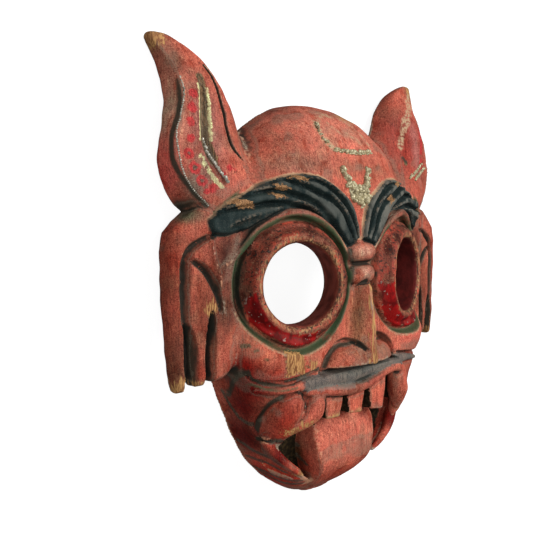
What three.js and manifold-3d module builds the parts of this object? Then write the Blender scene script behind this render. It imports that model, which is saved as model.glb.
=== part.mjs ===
import * as THREE from 'three';
import { mergeVertices } from 'three/addons/utils/BufferGeometryUtils.js';
import Module from 'manifold-3d';

const wasm = await Module();
wasm.setup();

// A horned dance mask carved from one block of wood, in millimetres. It lies on its back rim, with the
// rim in the plane Z = 0 and the face looking along +Z. While it is carved, Y = 0 is the line of the eyes,
// +Y runs to the horns, and X = 0 is the plane of symmetry. Paired forms are given for the -X side.
const head = {
  halfWidth: 96,
  crown: 117,
  chin: 149,
  depth: 54,
  squareness: 2.7,
  jawSquareness: 5,
  stations: 20,
  around: 18,
};
const hollow = {
  halfWidth: 83,
  crown: 103,
  chin: 126,
  depth: 45,
  squareness: 2.6,
  stations: 11,
  around: 11,
};
const eye = {
  at: [-52.5, 0, 48],
  turn: 17,
  holeRadius: 25,
  crestRadius: 30,
  crestHeight: 6.2,
  grooveRadius: 38,
  grooveDepth: 4,
  grooveWidth: 5.5,
  segments: 22,
};
const eyelid = { radius: 44.5, from: 22, to: 150, halfWidth: 3.2, height: 3.6 };
const brow = { halfWidth: 3.9, height: 4.4 };
const bridge = { bars: [17.6, 3.6], halfLengths: [14, 12.5], radius: 6.4, top: 58.6, droop: 2.2, sides: 8 };
const nose = { top: -1, tip: -54, ridge: 66.5, rise: 3.5, halfWidth: 23, topHalfWidth: 6.5 };
const wing = { at: [-24, -57, 51], size: [19, 18, 12.5], under: -57.5 };
const cheek = { at: [-61, -42, 27], size: [28, 20, 27] };
const teeth = { pitch: 22.7, halfWidth: 7.9, taper: 0.85, top: -68, bottom: -88.5, front: 50, thickness: 14 };
const ear = { back: 10, thickness: 15, bevel: 3.2, edge: -127, fingertips: { left: -57, right: -51 } };
const horn = { rings: 11, bulge: 2.6 };
const almond = { centre: 92, halfWidth: 20, halfHeight: 10.5, from: 200, sweep: 320, line: 1.8, height: 1.6 };
const groove = { rise: 24 };
const stockHeight = 90;

const radians = THREE.MathUtils.degToRad;
const vector = (point) => new THREE.Vector3(...point);

// The plain form of the head: its half width and its depth at each height, and squarish sections between.
function halfWidthAt(y, form = head) {
  const t = Math.min(1, y < 0 ? -y / form.chin : y / form.crown);
  return form.halfWidth * (y < 0 ? (1 - t ** 1.5) ** 0.5 : (1 - t ** 2.2) ** 0.52);
}

function headDepthAt(y) {
  const t = Math.min(1, y < 0 ? -y / head.chin : y / head.crown);
  return head.depth * (y < 0 ? (1 - t ** 3.5) ** 0.55 : (1 - t ** 4) ** 0.5);
}

// The hollow rises under the brow and stays low behind the mouth.
function hollowDepthAt(y) {
  const t = Math.min(1, y < 0 ? -y / hollow.chin : y / hollow.crown);
  return hollow.depth * (y < 0 ? (1 - t ** 1.7) ** 0.9 : (1 - t ** 3) ** 0.5);
}

// The jaw is squarer across than the brow.
function squarenessAt(y) {
  const share = THREE.MathUtils.smoothstep(-y, 5, 65);
  return THREE.MathUtils.lerp(head.squareness, head.jawSquareness, share);
}

function faceZ(x, y) {
  const share = Math.min(1, Math.abs(x) / Math.max(halfWidthAt(y), 0.001));
  const squareness = squarenessAt(y);
  return headDepthAt(y) * (1 - share ** squareness) ** (1 / squareness);
}

function faceNormal(x, y) {
  const step = 1.5;
  const slopeX = (faceZ(x + step, y) - faceZ(x - step, y)) / (2 * step);
  const slopeY = (faceZ(x, y + step) - faceZ(x, y - step)) / (2 * step);
  return new THREE.Vector3(-slopeX, -slopeY, 1).normalize();
}

// A closed form through rings of points that all have the same count, with a fan over each end.
function loft(rings) {
  const count = rings[0].length;
  const points = rings.flat();
  const index = [];
  for (let r = 0; r < rings.length - 1; r++) {
    for (let i = 0; i < count; i++) {
      const a = r * count + i;
      const b = r * count + ((i + 1) % count);
      index.push(a, b, b + count, a, b + count, a + count);
    }
  }
  const ends = [rings[0], rings[rings.length - 1]];
  ends.forEach((ring, end) => {
    const centre = ring.reduce((sum, point) => sum.add(point), new THREE.Vector3()).divideScalar(count);
    const start = end * (rings.length - 1) * count;
    points.push(centre);
    for (let i = 0; i < count; i++) {
      const edge = [start + i, start + ((i + 1) % count)];
      index.push(points.length - 1, ...(end ? edge : edge.reverse()));
    }
  });
  const geometry = new THREE.BufferGeometry().setFromPoints(points);
  geometry.setIndex(index);
  return geometry;
}

function signedVolume(positions, index) {
  const corner = (i) => new THREE.Vector3().fromArray(positions, 3 * index[i]);
  let volume = 0;
  for (let i = 0; i < index.length; i += 3) {
    volume += corner(i).dot(corner(i + 1).cross(corner(i + 2))) / 6;
  }
  return volume;
}

// A solid from a closed geometry, with its shared vertices merged and its faces turned outwards.
function solid(geometry) {
  const bare = new THREE.BufferGeometry();
  bare.setAttribute('position', geometry.getAttribute('position'));
  bare.setIndex(geometry.index);
  const merged = mergeVertices(bare, 0.001);
  const positions = merged.getAttribute('position').array;
  const triangles = [];
  for (let i = 0; i < merged.index.count; i += 3) {
    const [a, b, c] = merged.index.array.slice(i, i + 3);
    if (a !== b && b !== c && c !== a) triangles.push(a, b, c);
  }
  if (signedVolume(positions, triangles) < 0) triangles.reverse();
  const mesh = new wasm.Mesh({
    numProp: 3,
    vertProperties: new Float32Array(positions),
    triVerts: new Uint32Array(triangles),
  });
  return new wasm.Manifold(mesh);
}

function bothSides(geometry) {
  return [solid(geometry), solid(geometry.clone().scale(-1, 1, 1))];
}

function joined(form, pieces) {
  return pieces.reduce((sum, piece) => sum.add(piece), form);
}

function cut(form, pieces) {
  return pieces.reduce((rest, piece) => rest.subtract(piece), form);
}

// A path of points over the face. A point with two numbers lies on the plain form of the head.
function facePath(points, steps, closed = false) {
  const curve = new THREE.CatmullRomCurve3(
    points.map(([x, y, z]) => new THREE.Vector3(x, y, z ?? faceZ(x, y))),
    closed,
    'centripetal',
  );
  const onFace = points.every((point) => point.length === 2);
  return curve.getSpacedPoints(steps).map((point, i) => {
    const along = curve.getTangentAt(i / steps);
    if (onFace) point.z = faceZ(point.x, point.y);
    const out = onFace ? faceNormal(point.x, point.y) : new THREE.Vector3(0, 0, 1);
    const across = new THREE.Vector3().crossVectors(along, out).normalize();
    return { point, across, out: new THREE.Vector3().crossVectors(across, along).normalize() };
  });
}

// Sweeps a section along a path. The section is a list of [across, out], scaled by width and height.
function sweep(path, section, width, height) {
  const rings = path.map(({ point, across, out }, i) => {
    const t = i / (path.length - 1);
    return section.map(([a, o]) =>
      point
        .clone()
        .addScaledVector(across, a * width(t))
        .addScaledVector(out, o < 0 ? o : o * height(t)),
    );
  });
  return loft(rings);
}

// Full in the middle and thin at both ends, or at the far end alone.
const spindle = (size, end = 0.35) => (t) => size * (end + (1 - end) * Math.sin(Math.PI * t) ** 0.6);
const fading = (size, end = 0.2) => (t) => size * (1 - (1 - end) * t ** 2);
const even = (size) => () => size;

const domeSection = [[-1.1, -4], [-0.7, 0.72], [0, 1], [0.7, 0.72], [1.1, -4]];

function ridge(points, halfWidth, height, steps = 8) {
  return sweep(facePath(points, steps), domeSection, halfWidth, height);
}

// A V groove to cut out: its sides open upwards and run on past the surface.
function gouge(points, halfWidth, depth, steps = 7) {
  const section = [[-1, 0.6], [0, -depth], [1, 0.6], [2, groove.rise], [-2, groove.rise]];
  return sweep(facePath(points, steps), section, halfWidth, even(1));
}

// A tube whose radius follows a list, for fangs.
function taper(points, radii, steps = 6, sides = 8) {
  const path = facePath(points, steps);
  const circle = Array.from({ length: sides }, (_, i) => {
    const angle = (2 * Math.PI * i) / sides;
    return [Math.cos(angle), Math.sin(angle)];
  });
  const rings = path.map(({ point, across, out }, i) => {
    const place = (i / steps) * (radii.length - 1);
    const low = Math.min(Math.floor(place), radii.length - 2);
    const radius = THREE.MathUtils.lerp(radii[low], radii[low + 1], place - low);
    return circle.map(([a, o]) =>
      point.clone().addScaledVector(across, a * radius).addScaledVector(out, o * radius),
    );
  });
  return loft(rings);
}

function dome({ at, size }, segments = 12) {
  const ball = new THREE.SphereGeometry(1, segments, segments / 2);
  return ball.scale(...size).translate(...at);
}

// Sections across the head, one at each height, closed along the plane of the rim or a little below it.
function dishForm(form, depthAt, power, underside) {
  const rings = [];
  for (let i = 0; i <= form.stations; i++) {
    const angle = (Math.PI * (i / form.stations - 0.5)) * 0.985;
    const y = Math.sin(angle) * (angle < 0 ? form.chin : form.crown);
    const roundness = 2 / power(y);
    const ring = [];
    for (let k = 0; k <= form.around; k++) {
      const turn = (Math.PI * k) / form.around;
      const x = -Math.sign(Math.cos(turn)) * Math.abs(Math.cos(turn)) ** roundness;
      const z = Math.sin(turn) ** roundness;
      ring.push(new THREE.Vector3(x * halfWidthAt(y, form), y, z * depthAt(y)));
    }
    if (underside < 0) {
      ring.push(new THREE.Vector3(halfWidthAt(y, form), y, underside));
      ring.push(new THREE.Vector3(-halfWidthAt(y, form), y, underside));
    }
    rings.push(ring);
  }
  return solid(loft(rings));
}

// A round profile of [radius, height] turned about the axis of the eye.
function eyeTurning(profile) {
  const closed = [...profile, profile[0]].map(([radius, height]) => new THREE.Vector2(radius, height));
  const geometry = new THREE.LatheGeometry(closed, eye.segments);
  geometry.rotateX(Math.PI / 2).rotateY(-radians(eye.turn));
  return geometry.translate(...eye.at);
}

function eyeRing() {
  const { holeRadius, crestRadius, crestHeight, grooveRadius } = eye;
  const outer = grooveRadius - 1.2;
  return eyeTurning([
    [holeRadius - 2, -26],
    [holeRadius - 0.5, crestHeight - 3],
    [holeRadius + 2, crestHeight - 0.4],
    [crestRadius, crestHeight],
    [crestRadius + 3.6, crestHeight - 2.6],
    [outer, -2.4],
    [outer, -26],
  ]);
}

function eyeGroove() {
  const { grooveRadius, grooveDepth, grooveWidth } = eye;
  return eyeTurning([
    [grooveRadius - grooveWidth / 2, groove.rise],
    [grooveRadius - grooveWidth / 2, 1],
    [grooveRadius - 1, -grooveDepth],
    [grooveRadius + 0.4, -grooveDepth],
    [grooveRadius + grooveWidth / 2 + 0.8, 3],
    [grooveRadius + grooveWidth / 2 + 0.8, groove.rise],
  ]);
}

function eyeHole() {
  return eyeTurning([
    [0, -46],
    [eye.holeRadius, -46],
    [eye.holeRadius - 0.6, eye.crestHeight + 4],
    [0, eye.crestHeight + 4],
  ]);
}

function eyelidFold() {
  const points = [];
  for (let angle = eyelid.from; angle <= eyelid.to; angle += (eyelid.to - eyelid.from) / 8) {
    const [x, y] = [Math.cos(radians(angle)), Math.sin(radians(angle))];
    points.push([eye.at[0] + eyelid.radius * x, eye.at[1] + eyelid.radius * y]);
  }
  return ridge(points, spindle(eyelid.halfWidth), spindle(eyelid.height), 10);
}

// Three strands fan out from the bridge of the nose, rise beside the forehead and run out over the eye.
function browStrands() {
  const strands = [
    { points: [[-6, 21], [-10, 40], [-20, 57], [-37, 64], [-57, 62], [-79, 54]], swell: 0.9 },
    { points: [[-7, 22], [-15, 38], [-27, 50.5], [-45, 56], [-63, 54], [-84, 45]], swell: 0.95 },
    { points: [[-9, 22], [-20, 35.5], [-35, 45], [-55, 49], [-73, 45.5], [-91, 36]], swell: 1.1 },
  ];
  return strands.map(({ points, swell }) =>
    ridge(points, spindle(brow.halfWidth * swell, 0.4), spindle(brow.height, 0.4), 8),
  );
}

function bridgeBar(y, halfLength) {
  const rings = [];
  const steps = 6;
  for (let i = 0; i <= steps; i++) {
    const share = (2 * i) / steps - 1;
    const radius = bridge.radius * (1 - Math.abs(share) ** 4) ** 0.5 + 0.6;
    const axis = bridge.top - bridge.radius - bridge.droop * share ** 2;
    const ring = [];
    for (let k = 0; k < bridge.sides; k++) {
      const turn = (2 * Math.PI * k) / bridge.sides;
      const [along, out] = [radius * Math.cos(turn), radius * Math.sin(turn)];
      ring.push(new THREE.Vector3(share * halfLength, y + along, axis + out));
    }
    rings.push(ring);
  }
  return solid(loft(rings));
}

// The nose is a wedge with a sharp ridge that widens down to a flat end over the lip.
function noseForm() {
  const rings = [];
  const stations = [0, 0.12, 0.35, 0.6, 0.85, 0.97, 1];
  stations.forEach((t) => {
    const y = THREE.MathUtils.lerp(nose.top, nose.tip, t);
    const halfWidth = THREE.MathUtils.lerp(nose.topHalfWidth, nose.halfWidth, t ** 1.4);
    const ridgeZ = nose.ridge - nose.rise * (1 - t) ** 2 - (t === 1 ? 2.5 : 0);
    const foot = faceZ(halfWidth, y) - 2;
    const flank = THREE.MathUtils.lerp(foot, ridgeZ, 0.72);
    const half = [[halfWidth, foot - 14], [halfWidth, foot], [halfWidth * 0.45, flank], [1.4, ridgeZ]];
    const left = half.map(([x, z]) => new THREE.Vector3(-x, y, z));
    const right = half.map(([x, z]) => new THREE.Vector3(x, y, z)).reverse();
    rings.push([...left, ...right]);
  });
  return solid(loft(rings));
}

// Each side of the nose has a half-moon wing, flat underneath.
function wingForm() {
  const { size, under } = wing;
  const keep = new THREE.BoxGeometry(3 * size[0], 2 * size[1], 4 * size[2]);
  keep.translate(wing.at[0], under + size[1], wing.at[2]);
  const half = solid(dome(wing)).intersect(solid(keep));
  return geometryOf(half);
}

function wingGroove() {
  const arch = [[-41, -57, 53], [-37, -46, 57], [-28, -40.5, 60], [-18, -38.5, 62.5], [-8, -41.5, 65]];
  return gouge(arch, even(2), 4.5);
}

// The gap under the nose and its wings runs across both sides.
function noseGap() {
  const path = [[-40, -58, 53], [-20, -59.5, 56], [0, -57, 58], [20, -59.5, 56], [40, -58, 53]];
  return solid(gouge(path, even(1.6), 4));
}

function cheekCrease() {
  const points = [[-88, -50], [-83, -55.5], [-76, -58.5], [-62, -59], [-45, -56.5]];
  return gouge(points, spindle(3.6, 0.3), 5);
}

// A band given from the corner of the mouth to the middle is carried on to the other corner.
function acrossFace(points) {
  const mirrored = points.slice(0, -1).map(([x, y]) => [-x, y]);
  return [...points, ...mirrored.reverse()];
}

function moustache() {
  const points = acrossFace([[-78, -64], [-65, -62], [-48, -61.5], [-22, -62], [0, -61]]);
  return solid(ridge(points, spindle(3.8, 0.4), spindle(4, 0.4), 12));
}

function upperLip() {
  const points = acrossFace([[-56, -67.5], [-44, -65.5], [-30, -68.5], [-15, -70], [0, -70]]);
  return solid(ridge(points, spindle(4.8, 0.6), spindle(5.6, 0.6), 12));
}

function mouthLobe() {
  const points = [[-49, -66], [-60, -72], [-66, -83], [-64.5, -96], [-61, -103]];
  return ridge(points, spindle(6.4, 0.35), spindle(5, 0.35), 7);
}

function fang() {
  return taper([[-42, -68, 48], [-44, -79, 49], [-52, -87, 46], [-62, -96, 38]], [5.5, 7.8, 6.6, 2.4]);
}

function lowerTusk() {
  const points = [[-62, -101], [-56, -110], [-49, -117.5], [-41, -125]];
  return ridge(points, fading(4.8, 0.35), fading(4, 0.35), 5);
}

function tooth(x) {
  const { halfWidth, taper: narrow, top, bottom, front, thickness } = teeth;
  const outline = new THREE.Shape();
  outline.moveTo(x - halfWidth, top);
  outline.lineTo(x - halfWidth * narrow, bottom);
  outline.lineTo(x + halfWidth * narrow, bottom);
  outline.lineTo(x + halfWidth, top);
  outline.closePath();
  const bevel = 1;
  const block = new THREE.ExtrudeGeometry(outline, {
    depth: thickness - 2 * bevel,
    bevelThickness: bevel,
    bevelSize: bevel,
    bevelOffset: -bevel,
    bevelSegments: 1,
  });
  return solid(block.translate(0, 0, front - thickness + bevel));
}

// Rounded slabs across the mouth, one at each height: [height, half width, front].
function crossLoft(stations, foot, soft) {
  const rings = stations.map(([y, halfWidth, front]) => {
    const half = [[halfWidth, foot], [halfWidth, front - soft], [halfWidth - soft, front], [0, front + 1]];
    const left = half.map(([x, z]) => new THREE.Vector3(-x, y, z));
    const right = half.slice(0, 3).map(([x, z]) => new THREE.Vector3(x, y, z)).reverse();
    return [...left, ...right];
  });
  return solid(loft(rings));
}

function tongue() {
  const stations = [
    [-84, 25, 37],
    [-92, 28, 40.5],
    [-110, 28.5, 42.5],
    [-124, 27, 42],
    [-133, 23.5, 38],
    [-140, 18, 30],
    [-145, 11, 18],
  ];
  return crossLoft(stations, 6, 3.5);
}

// The mouth is a blind pocket, deepest under the lip: [height, half width, floor].
function mouthPocket() {
  const stations = [
    [-73, 40, 38],
    [-84, 50, 30],
    [-100, 54, 26],
    [-112, 49, 23],
    [-124, 37, 21],
    [-132, 25, 20],
  ];
  const rings = stations.map(([y, halfWidth, floor]) => [
    new THREE.Vector3(-halfWidth, y, floor + 2),
    new THREE.Vector3(-halfWidth, y, stockHeight),
    new THREE.Vector3(halfWidth, y, stockHeight),
    new THREE.Vector3(halfWidth, y, floor + 2),
    new THREE.Vector3(0, y, floor),
  ]);
  return solid(loft(rings));
}

// Long ears hang beside the head and part into blunt fingers at the bottom.
function earForm(fingertip) {
  const outline = new THREE.Shape();
  outline.moveTo(-80, 46);
  outline.lineTo(-110, 45);
  outline.lineTo(-119, 38);
  outline.quadraticCurveTo(ear.edge, 30, ear.edge, 20);
  outline.lineTo(ear.edge, -5);
  outline.lineTo(ear.edge + 2.5, fingertip + 18);
  outline.quadraticCurveTo(ear.edge + 4, fingertip, -120, fingertip);
  outline.quadraticCurveTo(-114, fingertip, -113, fingertip + 6);
  outline.quadraticCurveTo(-109, fingertip + 2.5, -105, fingertip + 3);
  outline.quadraticCurveTo(-101, fingertip + 3.5, -99, fingertip + 8);
  outline.lineTo(-86, -50);
  outline.lineTo(-78, -30);
  outline.closePath();
  const slab = new THREE.ExtrudeGeometry(outline, {
    depth: ear.thickness - ear.bevel,
    bevelThickness: ear.bevel,
    bevelSize: ear.bevel,
    bevelOffset: -ear.bevel / 2,
    bevelSegments: 1,
    curveSegments: 3,
  });
  return slab.translate(0, 0, ear.back + ear.bevel);
}

function earGrooves() {
  const front = ear.back + ear.thickness + ear.bevel;
  const folds = [
    { points: [[-93, 29], [-107, 26], [-115.5, 18], [-116, -8], [-114.5, -30]], half: 2.2, depth: 4.5 },
    { points: [[-114.5, -26], [-114, -42], [-113, -60]], half: 3, depth: 9 },
    { points: [[-115, 16], [-105, 8], [-97, -4], [-94, -18]], half: 2, depth: 3.5 },
    { points: [[-100.5, -18], [-99.5, -36], [-98.5, -60]], half: 2.4, depth: 8 },
  ];
  return folds.map(({ points, half, depth }) =>
    gouge(points.map(([x, y]) => [x, y, front]), spindle(half, 0.5), depth, 5),
  );
}

// A horn is a leaf with four edges that run from its root to its tip. A sharp arris parts its front from
// its outer side.
function hornForm() {
  const edges = {
    outerBack: [[-105, 41, 9], [-117.5, 53, 8], [-124, 72, 8], [-120.5, 92, 8], [-117, 110, 6],
      [-119, 129, 3], [-124.5, 143.5, 2.5]],
    arris: [[-101, 43, 30], [-112, 54, 29], [-122.5, 74, 26], [-120, 92, 25.5], [-115.5, 108, 24],
      [-116, 125, 15.5], [-123.5, 143, 6.5]],
    innerFront: [[-74, 54, 38], [-78, 64, 35], [-82, 78, 30], [-86, 100, 25], [-88, 118, 19],
      [-97, 135, 10.5], [-120, 145, 6.5]],
    innerBack: [[-64, 62, 10], [-62, 74, 9], [-64, 88, 8], [-71, 106, 8], [-82, 122, 5],
      [-98, 135.5, 3], [-121, 145.5, 2.5]],
  };
  const curves = Object.values(edges).map((points) => new THREE.CatmullRomCurve3(points.map(vector)));
  const rings = [];
  for (let i = 0; i < horn.rings; i++) {
    const t = i / (horn.rings - 1);
    const swell = horn.bulge * (1 - t ** 3);
    const [outerBack, arris, innerFront, innerBack] = curves.map((curve) => curve.getPoint(t));
    const between = (a, b, share, push) =>
      a.clone().lerp(b, share).addScaledVector(push, swell);
    rings.push([
      outerBack,
      between(outerBack, arris, 0.5, new THREE.Vector3(-1, 0, 0)),
      arris,
      between(arris, innerFront, 0.33, new THREE.Vector3(0, 0, 0.5)),
      between(arris, innerFront, 0.67, new THREE.Vector3(0, 0, 0.7)),
      innerFront,
      between(innerFront, innerBack, 0.5, new THREE.Vector3(0.7, 0, 0.7)),
      innerBack,
    ]);
  }
  return loft(rings);
}

function hornGroove() {
  return gouge([[-98, 60, 34], [-105, 76, 30], [-106, 92, 27], [-103, 118, 19.5]], spindle(2.8, 0.4), 3.4);
}

// Low paste ornaments on the forehead: an almond mark, and a sprig with two arms over a hanging bud.
function foreheadMark() {
  const { halfWidth, halfHeight, centre, from, sweep: turn, line, height } = almond;
  const points = [];
  const corners = 11;
  for (let i = 0; i < corners; i++) {
    const angle = radians(from + (turn * i) / (corners - 1));
    points.push([halfWidth * Math.cos(angle), centre + halfHeight * Math.sin(angle)]);
  }
  return solid(ridge(points, even(line), even(height), 10));
}

function foreheadSprig() {
  const arm = ridge([[-2, 54], [-6, 62], [-14, 69]], spindle(3, 0.5), even(2.4), 4);
  const bud = ridge([[0, 66], [0, 57], [0, 47]], spindle(3.4, 0.4), even(2.8), 4);
  return [...bothSides(arm), solid(bud)];
}

function carveMask() {
  let form = dishForm(head, headDepthAt, squarenessAt, 0);
  form = joined(form, [dome(cheek), wingForm()].flatMap(bothSides));
  form = joined(form, bothSides(hornForm()));
  form = joined(form, [
    solid(earForm(ear.fingertips.left)),
    solid(earForm(ear.fingertips.right).scale(-1, 1, 1)),
  ]);
  form = joined(form, [noseForm()]);
  const grooves = [eyeGroove(), cheekCrease(), wingGroove(), hornGroove(), ...earGrooves()];
  form = cut(form, grooves.flatMap(bothSides));
  form = cut(form, [mouthPocket(), noseGap()]);
  form = joined(form, [eyeRing(), eyelidFold(), ...browStrands()].flatMap(bothSides));
  form = joined(form, bridge.bars.map((y, i) => bridgeBar(y, bridge.halfLengths[i])));
  form = joined(form, [-teeth.pitch, 0, teeth.pitch].map(tooth));
  form = joined(form, [moustache(), upperLip(), tongue()]);
  form = joined(form, [mouthLobe(), fang(), lowerTusk()].flatMap(bothSides));
  form = joined(form, [foreheadMark(), ...foreheadSprig()]);
  form = cut(form, [dishForm(hollow, hollowDepthAt, () => hollow.squareness, -10)]);
  return cut(form, bothSides(eyeHole()));
}

function geometryOf(form) {
  const { vertProperties, triVerts } = form.getMesh();
  const geometry = new THREE.BufferGeometry();
  geometry.setAttribute('position', new THREE.BufferAttribute(vertProperties, 3));
  geometry.setIndex(new THREE.BufferAttribute(triVerts, 1));
  geometry.computeVertexNormals();
  return geometry;
}

const paintedWood = new THREE.MeshStandardMaterial({ color: 0x9c3a32, roughness: 0.7, metalness: 0 });
const mask = new THREE.Mesh(geometryOf(carveMask()), paintedWood);
mask.name = 'mask';

// The finished mask stands with the middle of its box over the origin.
mask.geometry.computeBoundingBox();
mask.position.y = -(mask.geometry.boundingBox.min.y + mask.geometry.boundingBox.max.y) / 2;

const group = new THREE.Group();
group.add(mask);
export default group;
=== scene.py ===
import math
from functools import partial
import bpy
import numpy as np
from mathutils import Matrix, Vector


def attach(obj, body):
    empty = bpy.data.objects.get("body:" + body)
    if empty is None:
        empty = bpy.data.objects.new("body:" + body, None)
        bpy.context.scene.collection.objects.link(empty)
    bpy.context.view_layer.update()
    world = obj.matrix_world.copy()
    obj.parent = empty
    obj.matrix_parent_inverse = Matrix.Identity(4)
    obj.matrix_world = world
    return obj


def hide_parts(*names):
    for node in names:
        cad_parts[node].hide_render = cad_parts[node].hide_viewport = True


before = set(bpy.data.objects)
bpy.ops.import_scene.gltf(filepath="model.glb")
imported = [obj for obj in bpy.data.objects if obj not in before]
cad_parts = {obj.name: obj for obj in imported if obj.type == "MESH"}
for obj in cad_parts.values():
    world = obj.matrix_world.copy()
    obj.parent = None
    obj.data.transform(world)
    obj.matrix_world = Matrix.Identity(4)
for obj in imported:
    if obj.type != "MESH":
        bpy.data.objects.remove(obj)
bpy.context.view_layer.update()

# The carving is worked in millimetres in the face's own frame: eyes on Y = 0, back rim on Z = 0.
# Paired forms are given once, for the side where X counts as positive, and mirrored.
rowShift = 1.73  # from the eye line to the middle of the outline
gridStep = 1.1
gridLow, gridHigh = (-131.5, -151.5), (131.5, 148.5, 69)
faceTarget = 190000

head = {"halfWidth": 96, "crown": 117, "chin": 149, "depth": 54, "squareness": 2.7, "jawSquareness": 5,
        "jawFlare": 0.05, "lowDepth": (3.5, 0.55), "highDepth": (4, 0.5)}
hollow = {"halfWidth": 83, "crown": 103, "chin": 126, "depth": 45, "squareness": 2.6, "jawSquareness": 2.6,
          "jawFlare": 0, "lowDepth": (1.7, 0.9), "highDepth": (3, 0.5)}
outline = {"low": (1.5, 0.5), "high": (2.2, 0.52), "flare": (78, 122), "squaring": (5, 65)}


def smoothStep(value, low, high):
    t = np.clip((value - low) / (high - low), 0, 1)
    return t * t * (3 - 2 * t)


def softMin(a, b, blend):
    h = np.clip(0.5 + 0.5 * (b - a) / blend, 0, 1)
    return b + (a - b) * h - blend * h * (1 - h)


def softMax(a, b, blend):
    return -softMin(-a, -b, blend)


def bump(u):
    return np.clip(1 - u * u, 0, 1) ** 2


def splinePoints(points, count):
    pts = np.array(points, float)
    gaps = np.sqrt(np.linalg.norm(np.diff(pts, axis=0), axis=1))
    knots = np.concatenate([[0], np.cumsum(gaps)])
    slopes = np.gradient(pts, knots, axis=0)
    t = np.linspace(0, knots[-1], count)
    i = np.clip(np.searchsorted(knots, t, side="right") - 1, 0, len(pts) - 2)
    gap = (knots[i + 1] - knots[i])[:, None]
    s = (t - knots[i])[:, None] / gap
    start = (1 + 2 * s) * (1 - s) ** 2 * pts[i] + s * (1 - s) ** 2 * gap * slopes[i]
    end = s * s * (3 - 2 * s) * pts[i + 1] + s * s * (s - 1) * gap * slopes[i + 1]
    return start + end


# The plain dish of the head and of the hollow, as tables over height
heights = np.linspace(-150, 118, 1200)


def arch(t, curve):
    return (1 - t ** curve[0]) ** curve[1]


def dishTables(form):
    low = np.clip(-heights / form["chin"], 0, 1)
    high = np.clip(heights / form["crown"], 0, 1)
    below = heights < 0
    span = form["halfWidth"] * np.where(below, arch(low, outline["low"]), arch(high, outline["high"]))
    span = span * (1 + form["jawFlare"] * smoothStep(-heights, *outline["flare"]))
    depth = form["depth"] * np.where(below, arch(low, form["lowDepth"]), arch(high, form["highDepth"]))
    jawShare = smoothStep(-heights, *outline["squaring"])
    power = form["squareness"] + (form["jawSquareness"] - form["squareness"]) * jawShare
    return {"span": np.maximum(span, 0.5), "depth": np.maximum(depth, 0.5), "power": power, "form": form}


headDish, hollowDish = dishTables(head), dishTables(hollow)


def dishRatio(p, y, dish):
    a, d, power = [np.interp(y, heights, dish[key]) for key in ("span", "depth", "power")]
    u, w = np.abs(p[:, 0]) / a + 1e-6, np.maximum(p[:, 2], 0) / d + 1e-6
    ratio = (u ** power + w ** power) ** (1 / power)
    return ratio, u, w, a, d, power


def dishDistance(p, dish):
    y = p[:, 1]
    step = 0.4
    ratio, u, w, a, d, power = dishRatio(p, y, dish)
    away = dishRatio(p, y + step, dish)[0]
    slopeX = (u / ratio) ** (power - 1) / a
    slopeZ = (w / ratio) ** (power - 1) / d
    slopeY = (away - ratio) / step
    distance = (ratio - 1) / np.sqrt(slopeX ** 2 + slopeY ** 2 + slopeZ ** 2 + 1e-9)
    level = (ratio - 1) / np.sqrt(slopeX ** 2 + slopeZ ** 2 + 1e-9)
    distance = np.where(ratio > 1, np.maximum(distance, 0.3 * level), distance)
    return np.maximum(distance, np.maximum(-dish["form"]["chin"] - y, y - dish["form"]["crown"]))


def faceHeight(x, y):
    a, d, power = [np.interp(y, heights, headDish[key]) for key in ("span", "depth", "power")]
    return d * (1 - np.clip(np.abs(x) / a, 0, 1) ** power) ** (1 / power)


def faceNormal(p):
    steps = 0.6 * np.eye(3)
    slopes = [dishDistance(p + step, headDish) - dishDistance(p - step, headDish) for step in steps]
    normal = np.stack(slopes, 1)
    return normal / (np.linalg.norm(normal, axis=1)[:, None] + 1e-9)


# A path over the face. A point of two numbers lies on the plain dish, and one of three stands by itself.
def facePath(points, count=28):
    path = splinePoints(points, count)
    if path.shape[1] == 3:
        return path, np.tile((0.0, 0.0, 1.0), (count, 1))
    path = np.column_stack([path, faceHeight(path[:, 0], path[:, 1])])
    return path, faceNormal(path)


def nearPath(p, path):
    best = np.full(len(p), 1e9)
    place = np.zeros(len(p))
    for i in range(len(path) - 1):
        leg = path[i + 1] - path[i]
        s = np.clip(((p - path[i]) @ leg) / (leg @ leg + 1e-12), 0, 1)
        gap = p - path[i] - s[:, None] * leg
        square = np.einsum("ij,ij->i", gap, gap)
        closer = square < best
        best[closer] = square[closer]
        place[closer] = i + s[closer]
    return np.sqrt(best), place


def alongPath(values, place):
    low = np.clip(place.astype(int), 0, len(values) - 2)
    share = place - low
    if values.ndim == 2:
        share = share[:, None]
    return values[low] * (1 - share) + values[low + 1] * share


# Distance across a path, measured along the surface, or from the front for a path that stands by itself
def acrossPath(p, path, normal):
    if (normal[:, 2] > 0.999).all():
        gap, place = nearPath(p * (1, 1, 0), path * (1, 1, 0))
        return gap, place, p[:, 2] - alongPath(path[:, 2], place)
    gap, place = nearPath(p, path)
    out = np.einsum("ij,ij->i", p - alongPath(path, place), alongPath(normal, place))
    return np.sqrt(np.maximum(gap ** 2 - out ** 2, 0)), place, out


def spindle(size, end=0.3):
    return lambda t: size * (end + (1 - end) * np.sin(np.pi * t) ** 0.6)


def fading(size, end=0.2):
    return lambda t: size * (1 - (1 - end) * t ** 2)


carving = []  # every form and cut, in the order of the work


# A side is "both" for a mirrored pair, "near" (X < 0) or "far" for one of a pair, and "whole" for true X.
def work(low, high, shape, side="both"):
    carving.append({"low": np.array(low, float), "high": np.array(high, float), "shape": shape, "side": side})


def addForm(low, high, distance, blend, side="both"):
    work(low, high, lambda p, f: softMin(f, distance(p), blend), side)


def cutForm(low, high, distance, blend, side="both"):
    work(low, high, lambda p, f: softMax(f, -distance(p), blend), side)


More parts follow.
